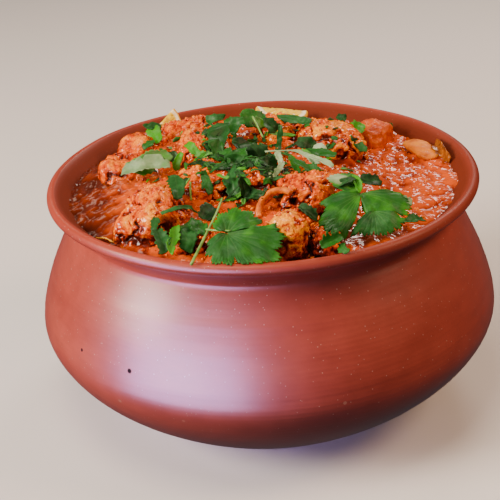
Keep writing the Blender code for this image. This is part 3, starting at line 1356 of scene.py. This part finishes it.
@dataclass
class LeafMaker:
    """Cuts, bends and lays pieces of coriander leaf."""

    surface: Surface
    material: Material
    thickness: float = 0.28 * MM
    gap: float = 0.55 * MM
    strip_veins: float = 2.6 * MM
    whole_veins_mm: float = 2.3
    blur: int = 9
    rng: random.Random = field(default_factory=lambda: random.Random(41))

    def notch(self, share: float, count: float, sharp: float) -> float:
        """Gives 0 in the middle of each of the count parts of an edge and 1 in the clefts between them."""
        return abs(2 * ((share * count) % 1.0) - 1) ** sharp

    def strip_point(self, leaf: Leaf, u: float, v: float, length: float, seed: float) -> Point:
        """Gives a place on a piece of leaf.

        Args:
            leaf: The leaf.
            u: The place across, from 0 to 1.
            v: The place along, from 0 to 1.
            length: The piece's length.
            seed: Sets how its edges run.

        Returns:
            The place across and along, and the distance to the nearest vein, in metres.
        """
        edge = 1.0 if u > 0.5 else -1.0
        bulge = max(0.0, math.sin(math.pi * (0.08 + 0.86 * v))) ** 0.5
        half = 0.44 * leaf.width * MM * (0.12 + 0.88 * bulge)
        half *= 1.0 + 0.6 * noise.noise(Vector((v * 2.1, edge * 3.0, seed))) * abs(2 * u - 1)
        fine = noise.noise(Vector((v * length / (1.3 * MM), edge * 5.0, seed)))
        half *= 1.0 + 0.3 * fine * abs(2 * u - 1) ** 3
        if leaf.cut is LeafCut.TOOTHED:
            half *= 1.0 - 0.34 * self.notch(v + 0.13 * (u > 0.5), max(3.0, length / (2.0 * MM)), 2.2)
        across = (2 * u - 1) * half
        slant = 1.6 * noise.noise(Vector((seed, 4.0, 2.0 + 9 * (v > 0.5)))) * across * (2 * v - 1) ** 2
        wander = noise.noise(Vector((v * 1.5, seed, 7.0)))
        sway = (leaf.sway + 0.12 * leaf.width * wander) * MM * math.sin(math.pi * v)
        rib = (v * length - abs(across) * 0.9) / self.strip_veins
        side = abs(rib % 1.0 - 0.5) * self.strip_veins
        return across + sway, v * length + slant, min(abs(across) + 0.22 * MM, side + 0.3 * MM)

    def build(self, leaf: Leaf, columns: int = 10, rows: int = 18) -> Object:
        """Makes one piece of leaf, in place.

        Args:
            leaf: Its place and shape.
            columns: How many faces lie across.
            rows: How many lie along.

        Returns:
            The piece.
        """
        base, tip = mm(*leaf.base), mm(*leaf.tip)
        length = (tip - base).length
        along = (tip - base).normalized()
        facing = Vector(leaf.facing)
        facing = (facing - along * facing.dot(along)).normalized()
        across = along.cross(facing)
        seed = self.rng.uniform(0, 50)
        half = 0.5 * leaf.width * MM
        crease = self.rng.uniform(-0.7, 0.7)
        turn = self.rng.uniform(0.15, 0.9) * self.rng.choice((-1, 1))
        veins, places = [], []
        for row in range(rows + 1):
            v = row / rows
            for column in range(columns + 1):
                side, forward, vein = self.strip_point(leaf, column / columns, v, length, seed)
                bend = leaf.curl * side * side / half + leaf.rise * MM * math.sin(math.pi * v)
                past = side * math.cos(crease) - (forward - 0.5 * length) * math.sin(crease)
                bend += turn * max(0.0, past)
                wave = 0.3 * half * noise.noise(Vector((side / half * 1.1, forward / half * 0.8, seed)))
                crisp = 0.3 * MM * noise.noise(Vector((side / (2.0 * MM), forward / (2.0 * MM), seed + 9)))
                quilt = 0.16 * MM * min(1.0, vein / (0.9 * MM))
                places.append(base + across * side + along * forward + facing * (bend + wave + crisp + quilt))
                veins.append(vein / MM)
        tone = leaf.tone.value + self.rng.uniform(-0.06, 0.06)
        return self.sheet(places, facing, columns, rows, veins, [tone] * len(veins))

    def sheet(
        self,
        places: list[Vector],
        facing: Vector,
        columns: int,
        rows: int,
        veins: list[float],
        tones: list[float],
    ) -> Object:
        """Turns a plane grid into a blade of leaf.

        Args:
            places: Where the grid's points go, row by row.
            facing: The way that the blade faces.
            columns: How many faces the grid has across.
            rows: How many faces it has along.
            veins: Each point's distance to a vein in millimetres.
            tones: Each point's place on the leaf's colour ramp.

        Returns:
            The blade, with its thickness.
        """
        deselect_all()
        bpy.ops.mesh.primitive_grid_add(
            x_subdivisions=columns, y_subdivisions=rows, size=1.0, location=(0, 0, 0)
        )
        blade = bpy.context.active_object
        self.lay(places, facing, columns + 1)
        for vertex, place in zip(blade.data.vertices, places):
            vertex.co = place
        write_attribute(blade, "vein", veins)
        write_attribute(blade, "tone", tones)
        solidify = blade.modifiers.new("Solidify", "SOLIDIFY")
        solidify.thickness = self.thickness
        solidify.offset = 0.0
        apply_modifiers(blade)
        return blade

    def finger_edge(self, leaf: WholeLeaf, angle: float) -> tuple[float, float, float, float]:
        """Gives the outline of a whole leaf at an angle.

        Args:
            leaf: The leaf.
            angle: The angle in degrees, between the leaf's first and last finger.

        Returns:
            The reach in millimetres, the angle to the nearest finger in radians, the tone and the lift.
        """
        for one, two in zip(leaf.fingers, leaf.fingers[1:]):
            if two.angle <= angle <= one.angle:
                break
        share = (one.angle - angle) / (one.angle - two.angle)
        smooth = share * share * (3 - 2 * share)
        reach = one.length + (two.length - one.length) * smooth
        reach *= 1.0 - one.cleft * (1.0 - abs(2 * share - 1)) ** 2.2
        arc = math.radians(one.angle - two.angle) * reach
        reach *= 1.0 - 0.09 * self.notch(share + 0.5, max(2, round(arc / 1.5)), 1.6)
        reach *= 1.0 + 0.05 * noise.noise(Vector((angle * 0.11, leaf.middle[0], leaf.middle[1])))
        tone = one.tone.value + (two.tone.value - one.tone.value) * smooth
        lift = one.lift + (two.lift - one.lift) * smooth
        before = one.angle - angle if one.cleft or one.lift else 90.0
        after = angle - two.angle if two.cleft else 90.0
        off = min(before, after)
        return reach, math.radians(max(0.0, off)), tone, lift

    def build_whole(self, leaf: WholeLeaf, rows: int = 14) -> Object:
        """Makes a whole leaf, in place.

        Args:
            leaf: Its place and shape.
            rows: How many faces lie on a line outwards.

        Returns:
            The leaf.
        """
        facing = Vector(leaf.facing).normalized()
        along = Vector(leaf.along)
        along = (along - facing * along.dot(facing)).normalized()
        across = facing.cross(along)
        first, last = leaf.fingers[0].angle, leaf.fingers[-1].angle
        columns = int(first - last)
        seed = self.rng.uniform(0, 50)
        angles = [first + (last - first) * column / columns for column in range(columns + 1)]
        edges = [self.finger_edge(leaf, angle) for angle in angles]
        broad = []
        for column in range(columns + 1):
            near = [edge[0] for edge in edges[max(0, column - self.blur) : column + self.blur + 1]]
            broad.append(sum(near) / len(near))
        veins, places, tones = [], [], []
        for row in range(rows + 1):
            for column, (reach, off, tone, lift) in enumerate(edges):
                angle = math.radians(angles[column])
                radius = reach * (0.02 + 0.98 * row / rows)
                v = min(1.1, radius / broad[column])
                rib = (radius - off * radius * 1.2) / self.whole_veins_mm
                side = abs(rib % 1.0 - 0.5) * self.whole_veins_mm
                vein = min(off * radius + 0.3 * v, side + 0.3 + 0.12 * v)
                dome = leaf.dome * math.sin(math.pi * v) - leaf.droop * v * v + lift * v * v
                spot = Vector((radius * math.cos(angle), radius * math.sin(angle), 0.0))
                deep = Vector((0.0, 0.0, seed))
                wave = 1.1 * v * noise.noise((spot + deep) * 0.2)
                fold = 0.35 * v * noise.noise((spot + deep) * 0.6)
                quilt = 0.06 * min(1.0, vein / 0.8) + 0.45 * v * bumps(spot, 2.4, seed)
                place = along * math.cos(angle) + across * math.sin(angle)
                place = place * radius + facing * (dome + wave + fold + quilt)
                places.append(mm(*leaf.middle) + place * MM)
                veins.append(vein)
                tones.append(tone + 0.1 * v * v - 0.06 + 0.26 * noise.noise(spot * 0.17 + deep))
        return self.sheet(places, facing, columns, rows, veins, tones)

    def lay(self, places: list[Vector], facing: Vector, stride: int) -> None:
        """Lifts a grid of points clear of the surface, evenly enough that the blade stays smooth.

        Args:
            places: The grid's points, which are moved.
            facing: The way that they are lifted.
            stride: How many points a row has.
        """
        lifts = [self.surface.push(place, facing, self.gap) for place in places]
        for _ in range(4):
            spread = []
            for index, lift in enumerate(lifts):
                near = [lift]
                for other in (index - stride, index + stride):
                    if 0 <= other < len(lifts):
                        near.append(lifts[other])
                if index % stride > 0:
                    near.append(lifts[index - 1])
                if index % stride < stride - 1:
                    near.append(lifts[index + 1])
                spread.append(max(lift, sum(near) / len(near)))
            lifts = spread
        for place, lift in zip(places, lifts):
            place += facing * lift
            place.z = min(place.z, CEILING - 0.3 * MM)

    def group(self, name: str, leaves: list[Leaf | WholeLeaf], *nodes: str) -> Object:
        """Makes one piece of several leaves and dresses it.

        Args:
            name: The piece's name.
            leaves: Its leaves.
            nodes: The CAD nodes that it replaces.

        Returns:
            The piece.
        """
        made = []
        for leaf in leaves:
            made.append(self.build_whole(leaf) if isinstance(leaf, WholeLeaf) else self.build(leaf))
        piece = join_all(name, made)
        finish_piece(piece, self.material, "coriander", *nodes)
        return piece


def fingers(*rows: tuple) -> tuple[Finger, ...]:
    """Gives fingers whose values are the rows."""
    return tuple(Finger(*row) for row in rows)


@dataclass
class Sprigs:
    """The large leaf over the front, the one at the right, and a folded leaf with its underside up."""

    maker: LeafMaker
    front_middle: Point = (-15.5, -82, 119)
    right_middle: Point = (41.5, -54.5, 121.5)
    right_below: Point = (46, -62.5, 116.5)
    right_facing: Point = (0.0, -0.55, 0.83)

    def front(self) -> Object:
        """Makes the large leaf that lies over the food's front and just onto the lip.

        Returns:
            The sprig.
        """
        teal, mid, fresh = LeafTone.TEAL, LeafTone.MID, LeafTone.FRESH
        upper = fingers(
            (165, 3, 0.0, fresh), (135, 8, 0.12, fresh), (102, 11, 0.1, fresh), (72, 13.5, 0.1, fresh),
            (45, 15, 0.08, mid), (22, 16, 0.1, mid), (8, 12, 0.0, mid),
        )
        lower = fingers(
            (14, 13, 0.0, mid), (4, 21, 0.05, mid, 0.6), (-8, 24, 0.05, fresh, 0.8),
            (-19, 24, 0.12, mid, 0.4), (-32, 26, 0.1, mid), (-47, 23, 0.1, mid), (-66, 19, 0.26, mid),
            (-88, 17, 0.1, mid), (-110, 16, 0.12, mid), (-132, 13, 0.2, teal), (-153, 9.5, 0.1, teal),
            (-175, 5, 0.0, mid),
        )
        middle = self.front_middle
        leaves = [WholeLeaf(middle, upper, dome=1.2, droop=0.4), WholeLeaf(middle, lower, dome=1.0)]
        return self.maker.group("coriander_sprig_front", leaves, "coriander_front")

    def right(self) -> Object:
        """Makes the large leaf at the right, with one lobe that curls up.

        Returns:
            The sprig.
        """
        dark, teal, mid, fresh, bright, pale, _ = LeafTone
        toothed = LeafCut.TOOTHED
        left = fingers(
            (258, 8, 0.0, mid), (253, 16, 0.06, mid), (247, 24, 0.08, mid), (240, 29, 0.06, mid),
            (232, 28, 0.07, mid), (223, 26, 0.07, mid), (213, 23, 0.1, mid), (201, 17.5, 0.04, mid),
            (188, 18.5, 0.08, mid), (177, 13, 0.0, fresh), (168, 7, 0.0, fresh),
        )
        right = fingers(
            (364, 12, 0.0, fresh), (357, 18, 0.05, fresh), (348, 20.5, 0.06, fresh),
            (338, 22.5, 0.07, fresh), (328, 22.5, 0.1, fresh), (316, 18, 0.0, fresh), (300, 15, 0.0, fresh),
            (284, 13, 0.0, fresh), (272, 9, 0.0, fresh), (262, 3, 0.0, fresh),
        )
        lower = fingers(
            (352, 10, 0.0, mid), (338, 14.5, 0.1, mid), (320, 14, 0.1, mid), (303, 13, 0.08, mid),
            (287, 12.5, 0.08, teal), (272, 12.5, 0.16, teal), (257, 11.5, 0.06, teal), (243, 13, 0.1, teal),
            (226, 15, 0.12, teal), (210, 9, 0.0, teal), (190, 3, 0.0, teal),
        )
        curled = fingers(
            (177, 7, 0.0, bright), (168, 12, 0.06, mid), (158, 14.5, 0.1, pale, 1.0),
            (147, 17, 0.1, pale, 1.6), (136, 18, 0.08, pale, 2.0), (125, 17.5, 0.08, pale, 2.0),
            (115, 16, 0.06, mid, 1.6), (105, 13.5, 0.05, mid, 1.0), (95, 9, 0.0, bright),
        )
        leaves = [
            WholeLeaf(self.right_middle, left, self.right_facing, dome=1.6),
            WholeLeaf(self.right_middle, right, self.right_facing, dome=1.4),
            WholeLeaf(self.right_below, lower, self.right_facing, dome=1.0),
            WholeLeaf((41, -54, 122), curled, (0.1, -0.5, 0.86), dome=-0.6, droop=-0.6),
            # A dark strip under the curled lobe: painted shade.
            Leaf((32.5, -51, 124.6), (39, -49, 126), 6.5, dark, curl=0.5),
            Leaf((41, -56, 122.6), (39.5, -45.5, 126.3), 4, bright, curl=0.5),
            Leaf((58, -45, 114), (64, -47, 112.5), 6, pale, toothed),
            Leaf((57, -67, 112), (67, -62, 111.5), 7, teal, toothed),
            Leaf((43, -32, 119), (52, -34, 116), 7, dark),
            Leaf((31, -86, 116.5), (22, -90, 114.5), 6, mid, toothed, curl=0.5),
            Leaf((30, -88, 114.5), (32, -93, 112.5), 5, mid, toothed),
        ]
        return self.maker.group("coriander_sprig_right", leaves, "coriander_right")

    def folded(self) -> Object:
        """Makes the folded leaf that lies with its grey-green underside up.

        Returns:
            The leaf.
        """
        toothed, strip = LeafCut.TOOTHED, LeafCut.STRIP
        pale, bright, teal = LeafTone.PALE, LeafTone.BRIGHT, LeafTone.TEAL
        leaves = [
            Leaf((-63.5, -11, 119.5), (-41, -12, 121), 10, pale, toothed, 1.6, 0.4, (0.0, -0.5, 0.86), -1.8),
            Leaf((-61, -8, 120.5), (-42, 0, 123.5), 9.5, bright, strip, 1.2, 0.4, (0.05, -0.8, 0.6), 1.2),
            Leaf((-57, -9, 121.4), (-44, -5.5, 122.8), 2.6, teal, strip, 0.6, 0.3, (0.0, -0.6, 0.8)),
        ]
        return self.maker.group("folded_leaf", leaves, "leaf_pale")


def lay_onion_slivers(maker: LeafMaker) -> None:
    """Lays two slivers of onion: one leans on the right wall, one lies under the lip at the front left.

    Args:
        maker: Bends and lays thin strips.
    """
    for name, leaf, finish in (
        (
            "browned_onion_sliver",
            Leaf((85.5, 32, 109.5), (88.5, 10, 108.5), 6, LeafTone.MID, rise=1.2, facing=(-0.75, -0.4, 0.6)),
            SoftVegetable("browned_onion", "#4a2206", "#8a480c", "#c97a1c"),
        ),
        (
            "yellow_onion_sliver",
            Leaf((-72, -54, 108), (-64, -66, 110.5), 2.2, LeafTone.MID, rise=0.5, facing=(0.5, 0.2, 0.85)),
            SoftVegetable("yellow_onion", "#d98a12", "#f0b02e", "#f8cf5c"),
        ),
    ):
        sliver = maker.build(leaf)
        sliver.name = name
        finish_piece(sliver, finish.build(), "onion")


@dataclass
class ChoppedCoriander:
    """The torn and chopped leaves over the heap, from the large ones down to flecks."""

    maker: LeafMaker
    flecks: int = 110
    strips: int = 170
    heap: tuple[float, float, float, float] = (-4, 2, 52, 44)
    shaded_pile: tuple[float, float, float, float] = (-8, -9, 11, 17)

    def large(self) -> list[Leaf]:
        """Lists the leaves that stand out, each in its place.

        Returns:
            The leaves.
        """
        dark, teal, mid, fresh, bright, pale, silver = LeafTone
        toothed = LeafCut.TOOTHED
        return [
            Leaf((-53, 43, 121), (-49, 31, 117.5), 7.5, bright),
            Leaf((-56, 41, 121.5), (-48, 42, 121.5), 4.5, teal),
            Leaf((-51, 31, 118), (-57, 30, 115), 5, mid),
            Leaf((-34, 6, 126), (-29, 0, 121.5), 5, bright, rise=1.2, curl=0.6),
            Leaf((-29.5, -1, 122.5), (-21.5, -3, 120), 5, bright, rise=1.0),
            Leaf((-36, -4, 125), (-39, -5, 116.5), 4.5, bright, curl=0.6),
            Leaf((-38, -34, 126), (-36, -48, 120.5), 9, teal, toothed),
            Leaf((-17, 28, 126.5), (-22, 8, 118.5), 12, teal, rise=1.5),
            Leaf((2, 42, 119), (-8, 44, 126.5), 12, mid, facing=(0.1, -0.8, 0.6)),
            Leaf((-2, 37, 125), (1.5, 37, 119.5), 6, bright),
            Leaf((-26, 40, 124.5), (-17, 39, 125), 6, teal),
            Leaf((-17, 34, 120), (-7, 33, 126), 9, mid),
            # The dark leaves in the heap's middle are dark partly as painted shade.
            Leaf((-13, 5, 126), (-5, 5, 119.5), 10, dark),
            Leaf((-5, 0, 126), (1, -4, 117.5), 10, dark),
            Leaf((-9, -12, 125), (-15, -13, 117.5), 9, teal),
            Leaf((-5, -20, 126), (0, -22, 117.5), 9, dark),
            Leaf((-13, -5, 125), (-20, -12, 120.5), 9, mid),
            Leaf((0, -19, 125.5), (7, -19, 118.5), 9, dark),
            Leaf((-8, -3, 126), (-11, -11, 122), 8, mid),
            Leaf((-11, -38, 124.5), (-6, -39, 116), 7, dark),
            Leaf((-14, -27, 125), (-12, -38, 114.5), 9, teal, rise=1.4),
            Leaf((-35, -13, 121), (-30, -12, 116.5), 6, dark),
            Leaf((-26, -25, 124), (-24, -29, 114), 4.5, mid),
            Leaf((-43, -66, 121.5), (-28, -57, 118), 4.5, teal, rise=4.0),
            Leaf((-45, -67, 121), (-46, -75, 117), 5, teal, toothed),
            Leaf((-44, -73, 118.5), (-41, -83, 112), 7.5, teal, toothed),
            Leaf((-36, -71, 118.5), (-39, -83, 112), 5.5, bright, toothed),
            Leaf((-32, -63, 118), (-33, -79, 110.5), 12, teal, toothed),
            Leaf((-28, -64, 117.5), (-26, -73, 113.5), 7, mid),
            Leaf((-21, -50, 117), (-26, -57, 114), 8, dark),
            Leaf((9, 33, 126), (25, 30, 122.5), 6.5, teal),
            Leaf((10, 22, 126), (9, 22, 113), 3.5, teal),
            Leaf((17, 1, 125.5), (26, 1, 122), 7, dark),
            Leaf((20, -7, 123.5), (34, -14, 122.5), 6, mid),
            Leaf((24, -5, 125), (30, -9, 122.5), 5, silver, curl=0.6),
            Leaf((22, -12, 122), (18, -8, 124), 5, bright),
            Leaf((2, -13, 126.5), (19, -14, 126.5), 2.6, silver, toothed, sway=-0.8),
            Leaf((16, -14, 126.5), (32, -31, 123), 4.2, silver, toothed, rise=1.5),
            Leaf((7, -14, 126.5), (9, -24, 123), 3.4, silver, toothed),
            Leaf((10, -22, 124.5), (3, -31, 118), 3.2, pale, toothed, curl=0.5),
            Leaf((20, -19, 126), (25, -26, 124), 4.4, silver, toothed),
            Leaf((14, -24, 125), (27, -31, 121.5), 5, mid, toothed),
            Leaf((13, -18, 125.5), (16, -27, 121.5), 4.5, fresh, toothed),
            Leaf((38, 37, 124), (42, 34, 122), 4, dark),
            Leaf((50, 37, 119), (45, 31, 115), 7, bright),
            Leaf((45, 12, 117), (50, 9, 116), 5, teal),
            Leaf((64, 58, 109), (67, 56, 108), 3.5, teal),
            Leaf((15, -59, 119.5), (22, -62, 113.5), 6, dark),
            Leaf((-42, 10, 120), (-40, 6, 116.5), 5, dark),
            Leaf((2, 29, 126), (8, 28, 120.5), 9, dark),
            Leaf((-22, 7, 126), (-18, 0, 119.5), 7, mid),
            Leaf((-26, 21, 126), (-22, 20, 120), 5, dark),
        ]

    def fleck(self) -> Leaf | None:
        """Gives a small cut bit that lies flat where it fell, or None where nothing is under it.

        Returns:
            The bit of leaf.
        """
        rng = self.maker.rng
        x0, y0, wide, deep = self.heap
        angle, share = rng.uniform(0, math.tau), math.sqrt(rng.random())
        x, y = x0 + wide * share * math.cos(angle), y0 + deep * share * math.sin(angle)
        found = self.maker.surface.drop(x * MM, y * MM)
        if found is None:
            return None
        place, normal = found[0] / MM, found[1]
        turn = rng.uniform(0, math.tau)
        length = rng.uniform(1.6, 4.6)
        way = Vector((math.cos(turn), math.sin(turn), 0.0))
        way = (way - normal * way.dot(normal)).normalized() * length
        tones = [LeafTone.DARK, LeafTone.TEAL, LeafTone.MID, LeafTone.MID, LeafTone.BRIGHT]
        start = place + normal * 0.5
        width, tone = rng.uniform(1.0, 2.6), rng.choice(tones)
        return Leaf(tuple(start), tuple(start + way), width, tone, rise=0.2, facing=tuple(normal))

    def strip(self) -> Leaf | None:
        """Gives a thin strip of the dark pile in the heap's middle, or None where nothing is under it.

        Returns:
            The strip of leaf.
        """
        rng = self.maker.rng
        x0, y0, wide, deep = self.shaded_pile
        found = self.maker.surface.drop(rng.gauss(x0, wide) * MM, rng.gauss(y0, deep) * MM)
        if found is None:
            return None
        turn = rng.uniform(0, math.tau)
        way = Vector((math.cos(turn), math.sin(turn), rng.uniform(-0.2, 0.5)))
        way *= rng.triangular(3.0, 10.0, 5.0)
        start = found[0] / MM - 0.5 * way + Vector((0.0, 0.0, rng.uniform(0.0, 1.6)))
        # Mostly dark tones, so that the strips are leaves and also paint the shade in the heap's middle.
        tones = rng.choices(list(LeafTone), (9, 3, 5, 2, 1.2, 0.3, 0.2))
        facing = (rng.uniform(-0.7, 0.7), rng.uniform(-0.9, 0.2), 0.8)
        width = rng.uniform(0.9, 2.6)
        return Leaf(tuple(start), tuple(start + way), width, tones[0], rise=0.6, facing=facing)

    def build(self) -> None:
        """Makes one piece of the torn leaves, and one of the strips and the flecks."""
        self.maker.group("torn_coriander", self.large())
        found = [self.strip() for _ in range(self.strips)] + [self.fleck() for _ in range(self.flecks)]
        made = [self.maker.build(leaf, 4, 8) for leaf in found if leaf is not None]
        flecks = join_all("chopped_coriander", made)
        finish_piece(flecks, self.maker.material, "coriander")


@dataclass
class CorianderStems:
    """The bare stalks: the long one at the front and two short ones in the heap."""

    runs: tuple[tuple[tuple[Point, ...], float], ...] = (
        (
            ((-30, -96, 112.8), (-26, -85, 116.3), (-22, -72, 118.8), (-19, -60, 120.4), (-17.5, -48, 120)),
            0.65,
        ),
        (((-24, -76, 118.6), (-20, -80, 119.6), (-14, -82, 120.2)), 0.5),
        (((-3, 37, 125.6), (-1, 28, 124.5), (1.5, 20, 121)), 0.5),
        (((-31, -40, 125), (-31.5, -43, 121.5), (-31, -44, 118)), 0.5),
    )
    roundness: int = 2
    taper: float = 0.35

    def build(self) -> None:
        """Sweeps each stalk along its line and makes them one piece."""
        stalks = []
        for line, radius in self.runs:
            curve = bpy.data.curves.new("stalk", "CURVE")
            curve.dimensions = "3D"
            curve.bevel_depth = radius * MM
            curve.bevel_resolution = self.roundness
            curve.use_fill_caps = True
            curve.resolution_u = 8
            spline = curve.splines.new("NURBS")
            spline.points.add(len(line) - 1)
            spline.use_endpoint_u = True
            spline.order_u = 3
            for index, (point, place) in enumerate(zip(spline.points, line)):
                point.co = (*mm(*place), 1.0)
                point.radius = 1.0 - self.taper * index / len(line)
            stalk = bpy.data.objects.new("stalk", curve)
            bpy.context.scene.collection.objects.link(stalk)
            select_only(stalk)
            bpy.ops.object.convert(target="MESH")
            stalks.append(bpy.context.active_object)
        stems = join_all("coriander_stems", stalks)
        face_outwards(stems)
        finish_piece(stems, CorianderStalk().build(), "coriander")


# ---- Masala grains ----


@dataclass
class MasalaGrains:
    """Coarse grains of ground onion, tomato and spice that cling to the chicken and lie in the gravy."""

    count: int = 2300
    smallest: float = 0.35
    largest: float = 1.05
    spread: float = 86.0
    pool_edge: float = -56.0
    sparse_from: float = 36.0
    sparseness: float = 0.75
    rng: random.Random = field(default_factory=lambda: random.Random(7))

    def build(self, surface: Surface) -> Object:
        """Makes one grain and presses uneven copies of it into the surface, all as one piece.

        Args:
            surface: What the grains cling to.

        Returns:
            The grains.
        """
        deselect_all()
        bpy.ops.mesh.primitive_ico_sphere_add(subdivisions=2, radius=1.0, location=(0, 0, 0))
        grain = bpy.context.active_object
        shape = [vertex.co.copy() for vertex in grain.data.vertices]
        faces = [tuple(polygon.vertices) for polygon in grain.data.polygons]
        bpy.data.objects.remove(grain)
        points: list[Vector] = []
        all_faces: list[tuple[int, ...]] = []
        tones: list[float] = []
        while len(tones) < self.count * len(shape):
            angle, share = self.rng.uniform(0, math.tau), math.sqrt(self.rng.random())
            x, y = self.spread * share * math.cos(angle), self.spread * share * math.sin(angle)
            if x < self.pool_edge + 6 * math.sin(y * 0.2):
                continue
            if x > self.sparse_from and self.rng.random() < self.sparseness:
                continue
            found = surface.drop(x * MM, y * MM)
            if found is None:
                continue
            place, _ = found
            size = self.rng.triangular(self.smallest, self.largest, self.smallest) * MM
            turn = Euler([self.rng.uniform(0, math.tau) for _ in range(3)]).to_matrix()
            stretch = Vector([self.rng.uniform(0.7, 1.3) for _ in range(3)])
            seed = self.rng.uniform(0, 90)
            start = len(points)
            for corner in shape:
                rough = 1.0 + 0.35 * noise.noise(corner * 1.7 + Vector((seed, 0, 0)))
                point = place + turn @ (corner * stretch) * size * rough
                point.z = min(point.z, CEILING)
                points.append(point)
            all_faces.extend(tuple(start + index for index in face) for face in faces)
            tones.extend([self.rng.random()] * len(shape))
        grains = object_from("masala_grains", points, all_faces)
        write_attribute(grains, "relief", [0.3 + 0.6 * tone for tone in tones])
        write_attribute(grains, "warmth", [0.5] * len(tones))
        finish_piece(grains, CoatedChicken("masala_grain").build(), "chicken")
        return grains


# ---- Studio ----


@dataclass(frozen=True)
class Lamp:
    """A soft lamp: its place, what it faces, its width and height, its power in watts and its tint."""

    name: str
    place: Point
    target: Point
    size: Pair
    power: float
    tint: str

    def hang(self) -> Object:
        """Hangs the lamp so that it faces its target.

        Returns:
            The light.
        """
        data = bpy.data.lights.new(self.name, "AREA")
        data.shape = "RECTANGLE"
        data.size, data.size_y = self.size
        data.energy = self.power
        data.color = linear(self.tint)[:3]
        light = bpy.data.objects.new(self.name, data)
        light.location = self.place
        light.rotation_euler = (Vector(self.target) - Vector(self.place)).to_track_quat("-Z", "Y").to_euler()
        bpy.context.scene.collection.objects.link(light)
        return light


@dataclass
class Studio:
    """The floor, the lights and the camera."""

    stand: Point = (0.0, -0.556, 0.339)
    look: Point = (64.28, 3.13, -0.72)
    lens: float = 92.95
    floor_size: float = 8.0
    air: float = 0.07
    window: Lamp = Lamp("window", (-0.75, -0.87, 0.01), (0.0, 0.0, 0.06), (1.2, 0.85), 78.0, "#c4b2ff")
    lamps: tuple[Lamp, ...] = (
        Lamp("left", (-1.05, -0.42, 0.62), (0.0, 0.0, 0.06), (0.5, 0.5), 28.0, "#ffebdc"),
        Lamp("fill", (-0.85, -0.9, 0.08), (0.0, 0.0, 0.05), (0.5, 0.3), 3.0, "#fff0ea"),
        Lamp("back", (0.3, 0.7, 0.65), (0.03, 0.0, 0.1), (0.3, 0.2), 3.0, "#ffeadc"),
        Lamp("behind", (-0.42, 0.66, 0.6), (-0.05, 0.0, 0.1), (0.25, 0.2), 0.5, "#ffe4c8"),
        Lamp("warm", (0.75, -0.15, 0.75), (0.05, 0.0, 0.06), (0.4, 0.4), 7.0, "#ffcfa8"),
        Lamp("top", (-0.15, -0.25, 0.9), (0.0, 0.0, 0.1), (0.4, 0.4), 4.0, "#ffe8d0"),
    )

    def build(self, pot: Object) -> None:
        """Sets up the floor, the lights and the camera.

        Args:
            pot: The pot, whose belly alone mirrors the low window.
        """
        self.make_floor()
        left, *others = self.lamps
        left.hang()
        window = self.window.hang()
        window.visible_diffuse = False
        mirrored = bpy.data.collections.new("mirrors_the_window")
        mirrored.objects.link(pot)
        window.light_linking.receiver_collection = mirrored
        for lamp in others:
            lamp.hang()
        world = bpy.data.worlds.new("studio_air")
        world.use_nodes = True
        background = world.node_tree.nodes["Background"]
        background.inputs["Color"].default_value = color_of(1.0)
        background.inputs["Strength"].default_value = self.air
        bpy.context.scene.world = world
        self.add_camera()

    def make_floor(self) -> None:
        """Lays the floor, which the pot doesn't mirror and which gives no bounce light and no shadow."""
        deselect_all()
        bpy.ops.mesh.primitive_grid_add(
            x_subdivisions=2, y_subdivisions=2, size=self.floor_size, location=(0, 0, 0)
        )
        floor = bpy.context.active_object
        floor.name = "floor"
        floor.visible_glossy = False
        floor.visible_diffuse = False
        floor.visible_shadow = False
        floor.data.materials.append(PaleFloor().build())

    def add_camera(self) -> None:
        """Stands the camera in front, a little above the pot."""
        data = bpy.data.cameras.new("camera")
        data.lens = self.lens
        data.sensor_width = 36.0
        camera = bpy.data.objects.new("camera", data)
        camera.location = self.stand
        camera.rotation_euler = [math.radians(angle) for angle in self.look]
        bpy.context.scene.collection.objects.link(camera)
        bpy.context.scene.camera = camera


def main() -> None:
    """Builds the curry, piece by piece."""
    logging.basicConfig(level=logging.INFO, format="%(message)s")
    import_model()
    pot = ClayPot().build()
    Studio().build(pot)
    gravy = GravyBed().build()
    chicken = ChickenHeap().build()
    toppings = [
        SoftTopping(
            "tomato_quarter",
            "cooked_tomato",
            "tomato",
            SoftVegetable("cooked_tomato", "#8e2c02", "#cc5204", "#ea8420", 8.0, 0.5, 0.15, 0.06),
            dimple=1.3 * MM,
            soften=24,
        ).build(),
        SoftTopping(
            "onion_slice",
            "fried_onion_slice",
            "onion",
            SoftVegetable("fried_onion", "#a84c00", "#d27400", "#ee9400", 7.0, 0.5, 0.06, 0.02),
            dimple=0.3 * MM,
            ridge=0.07 * MM,
        ).build(),
        SoftTopping(
            "onion_curl",
            "fried_onion_curl",
            "onion",
            SoftVegetable("fried_onion_curl", "#963a02", "#cc6202", "#ea8a04", 4.0, 0.42, 0.15, 0.08),
            dimple=0.3 * MM,
        ).build(),
    ]
    # Paints shade into the gaps between the gravy and the chicken.
    PaintedGapShade().darken([gravy, *chicken])
    lemon = CutLemon().build()
    for piece in (
        LemonPiece("lemon_wedge", "lemon_wedge_cut", (-51, 68, 113), (62, 0, 20), 11),
        LemonPiece("lemon_slice", "lemon_slice_cut", (12, 83, 111), (-10, 10, -88), 14),
    ):
        toppings.append(piece.build(lemon))
    grains = MasalaGrains().build(Surface([gravy, *chicken]))
    maker = LeafMaker(Surface([pot, gravy, *chicken, *toppings, grains]), CorianderBlade().build())
    sprigs = Sprigs(maker)
    sprigs.folded()
    ChoppedCoriander(maker).build()
    sprigs.front()
    sprigs.right()
    lay_onion_slivers(maker)
    CorianderStems().build()


if __name__ == "__main__":
    main()
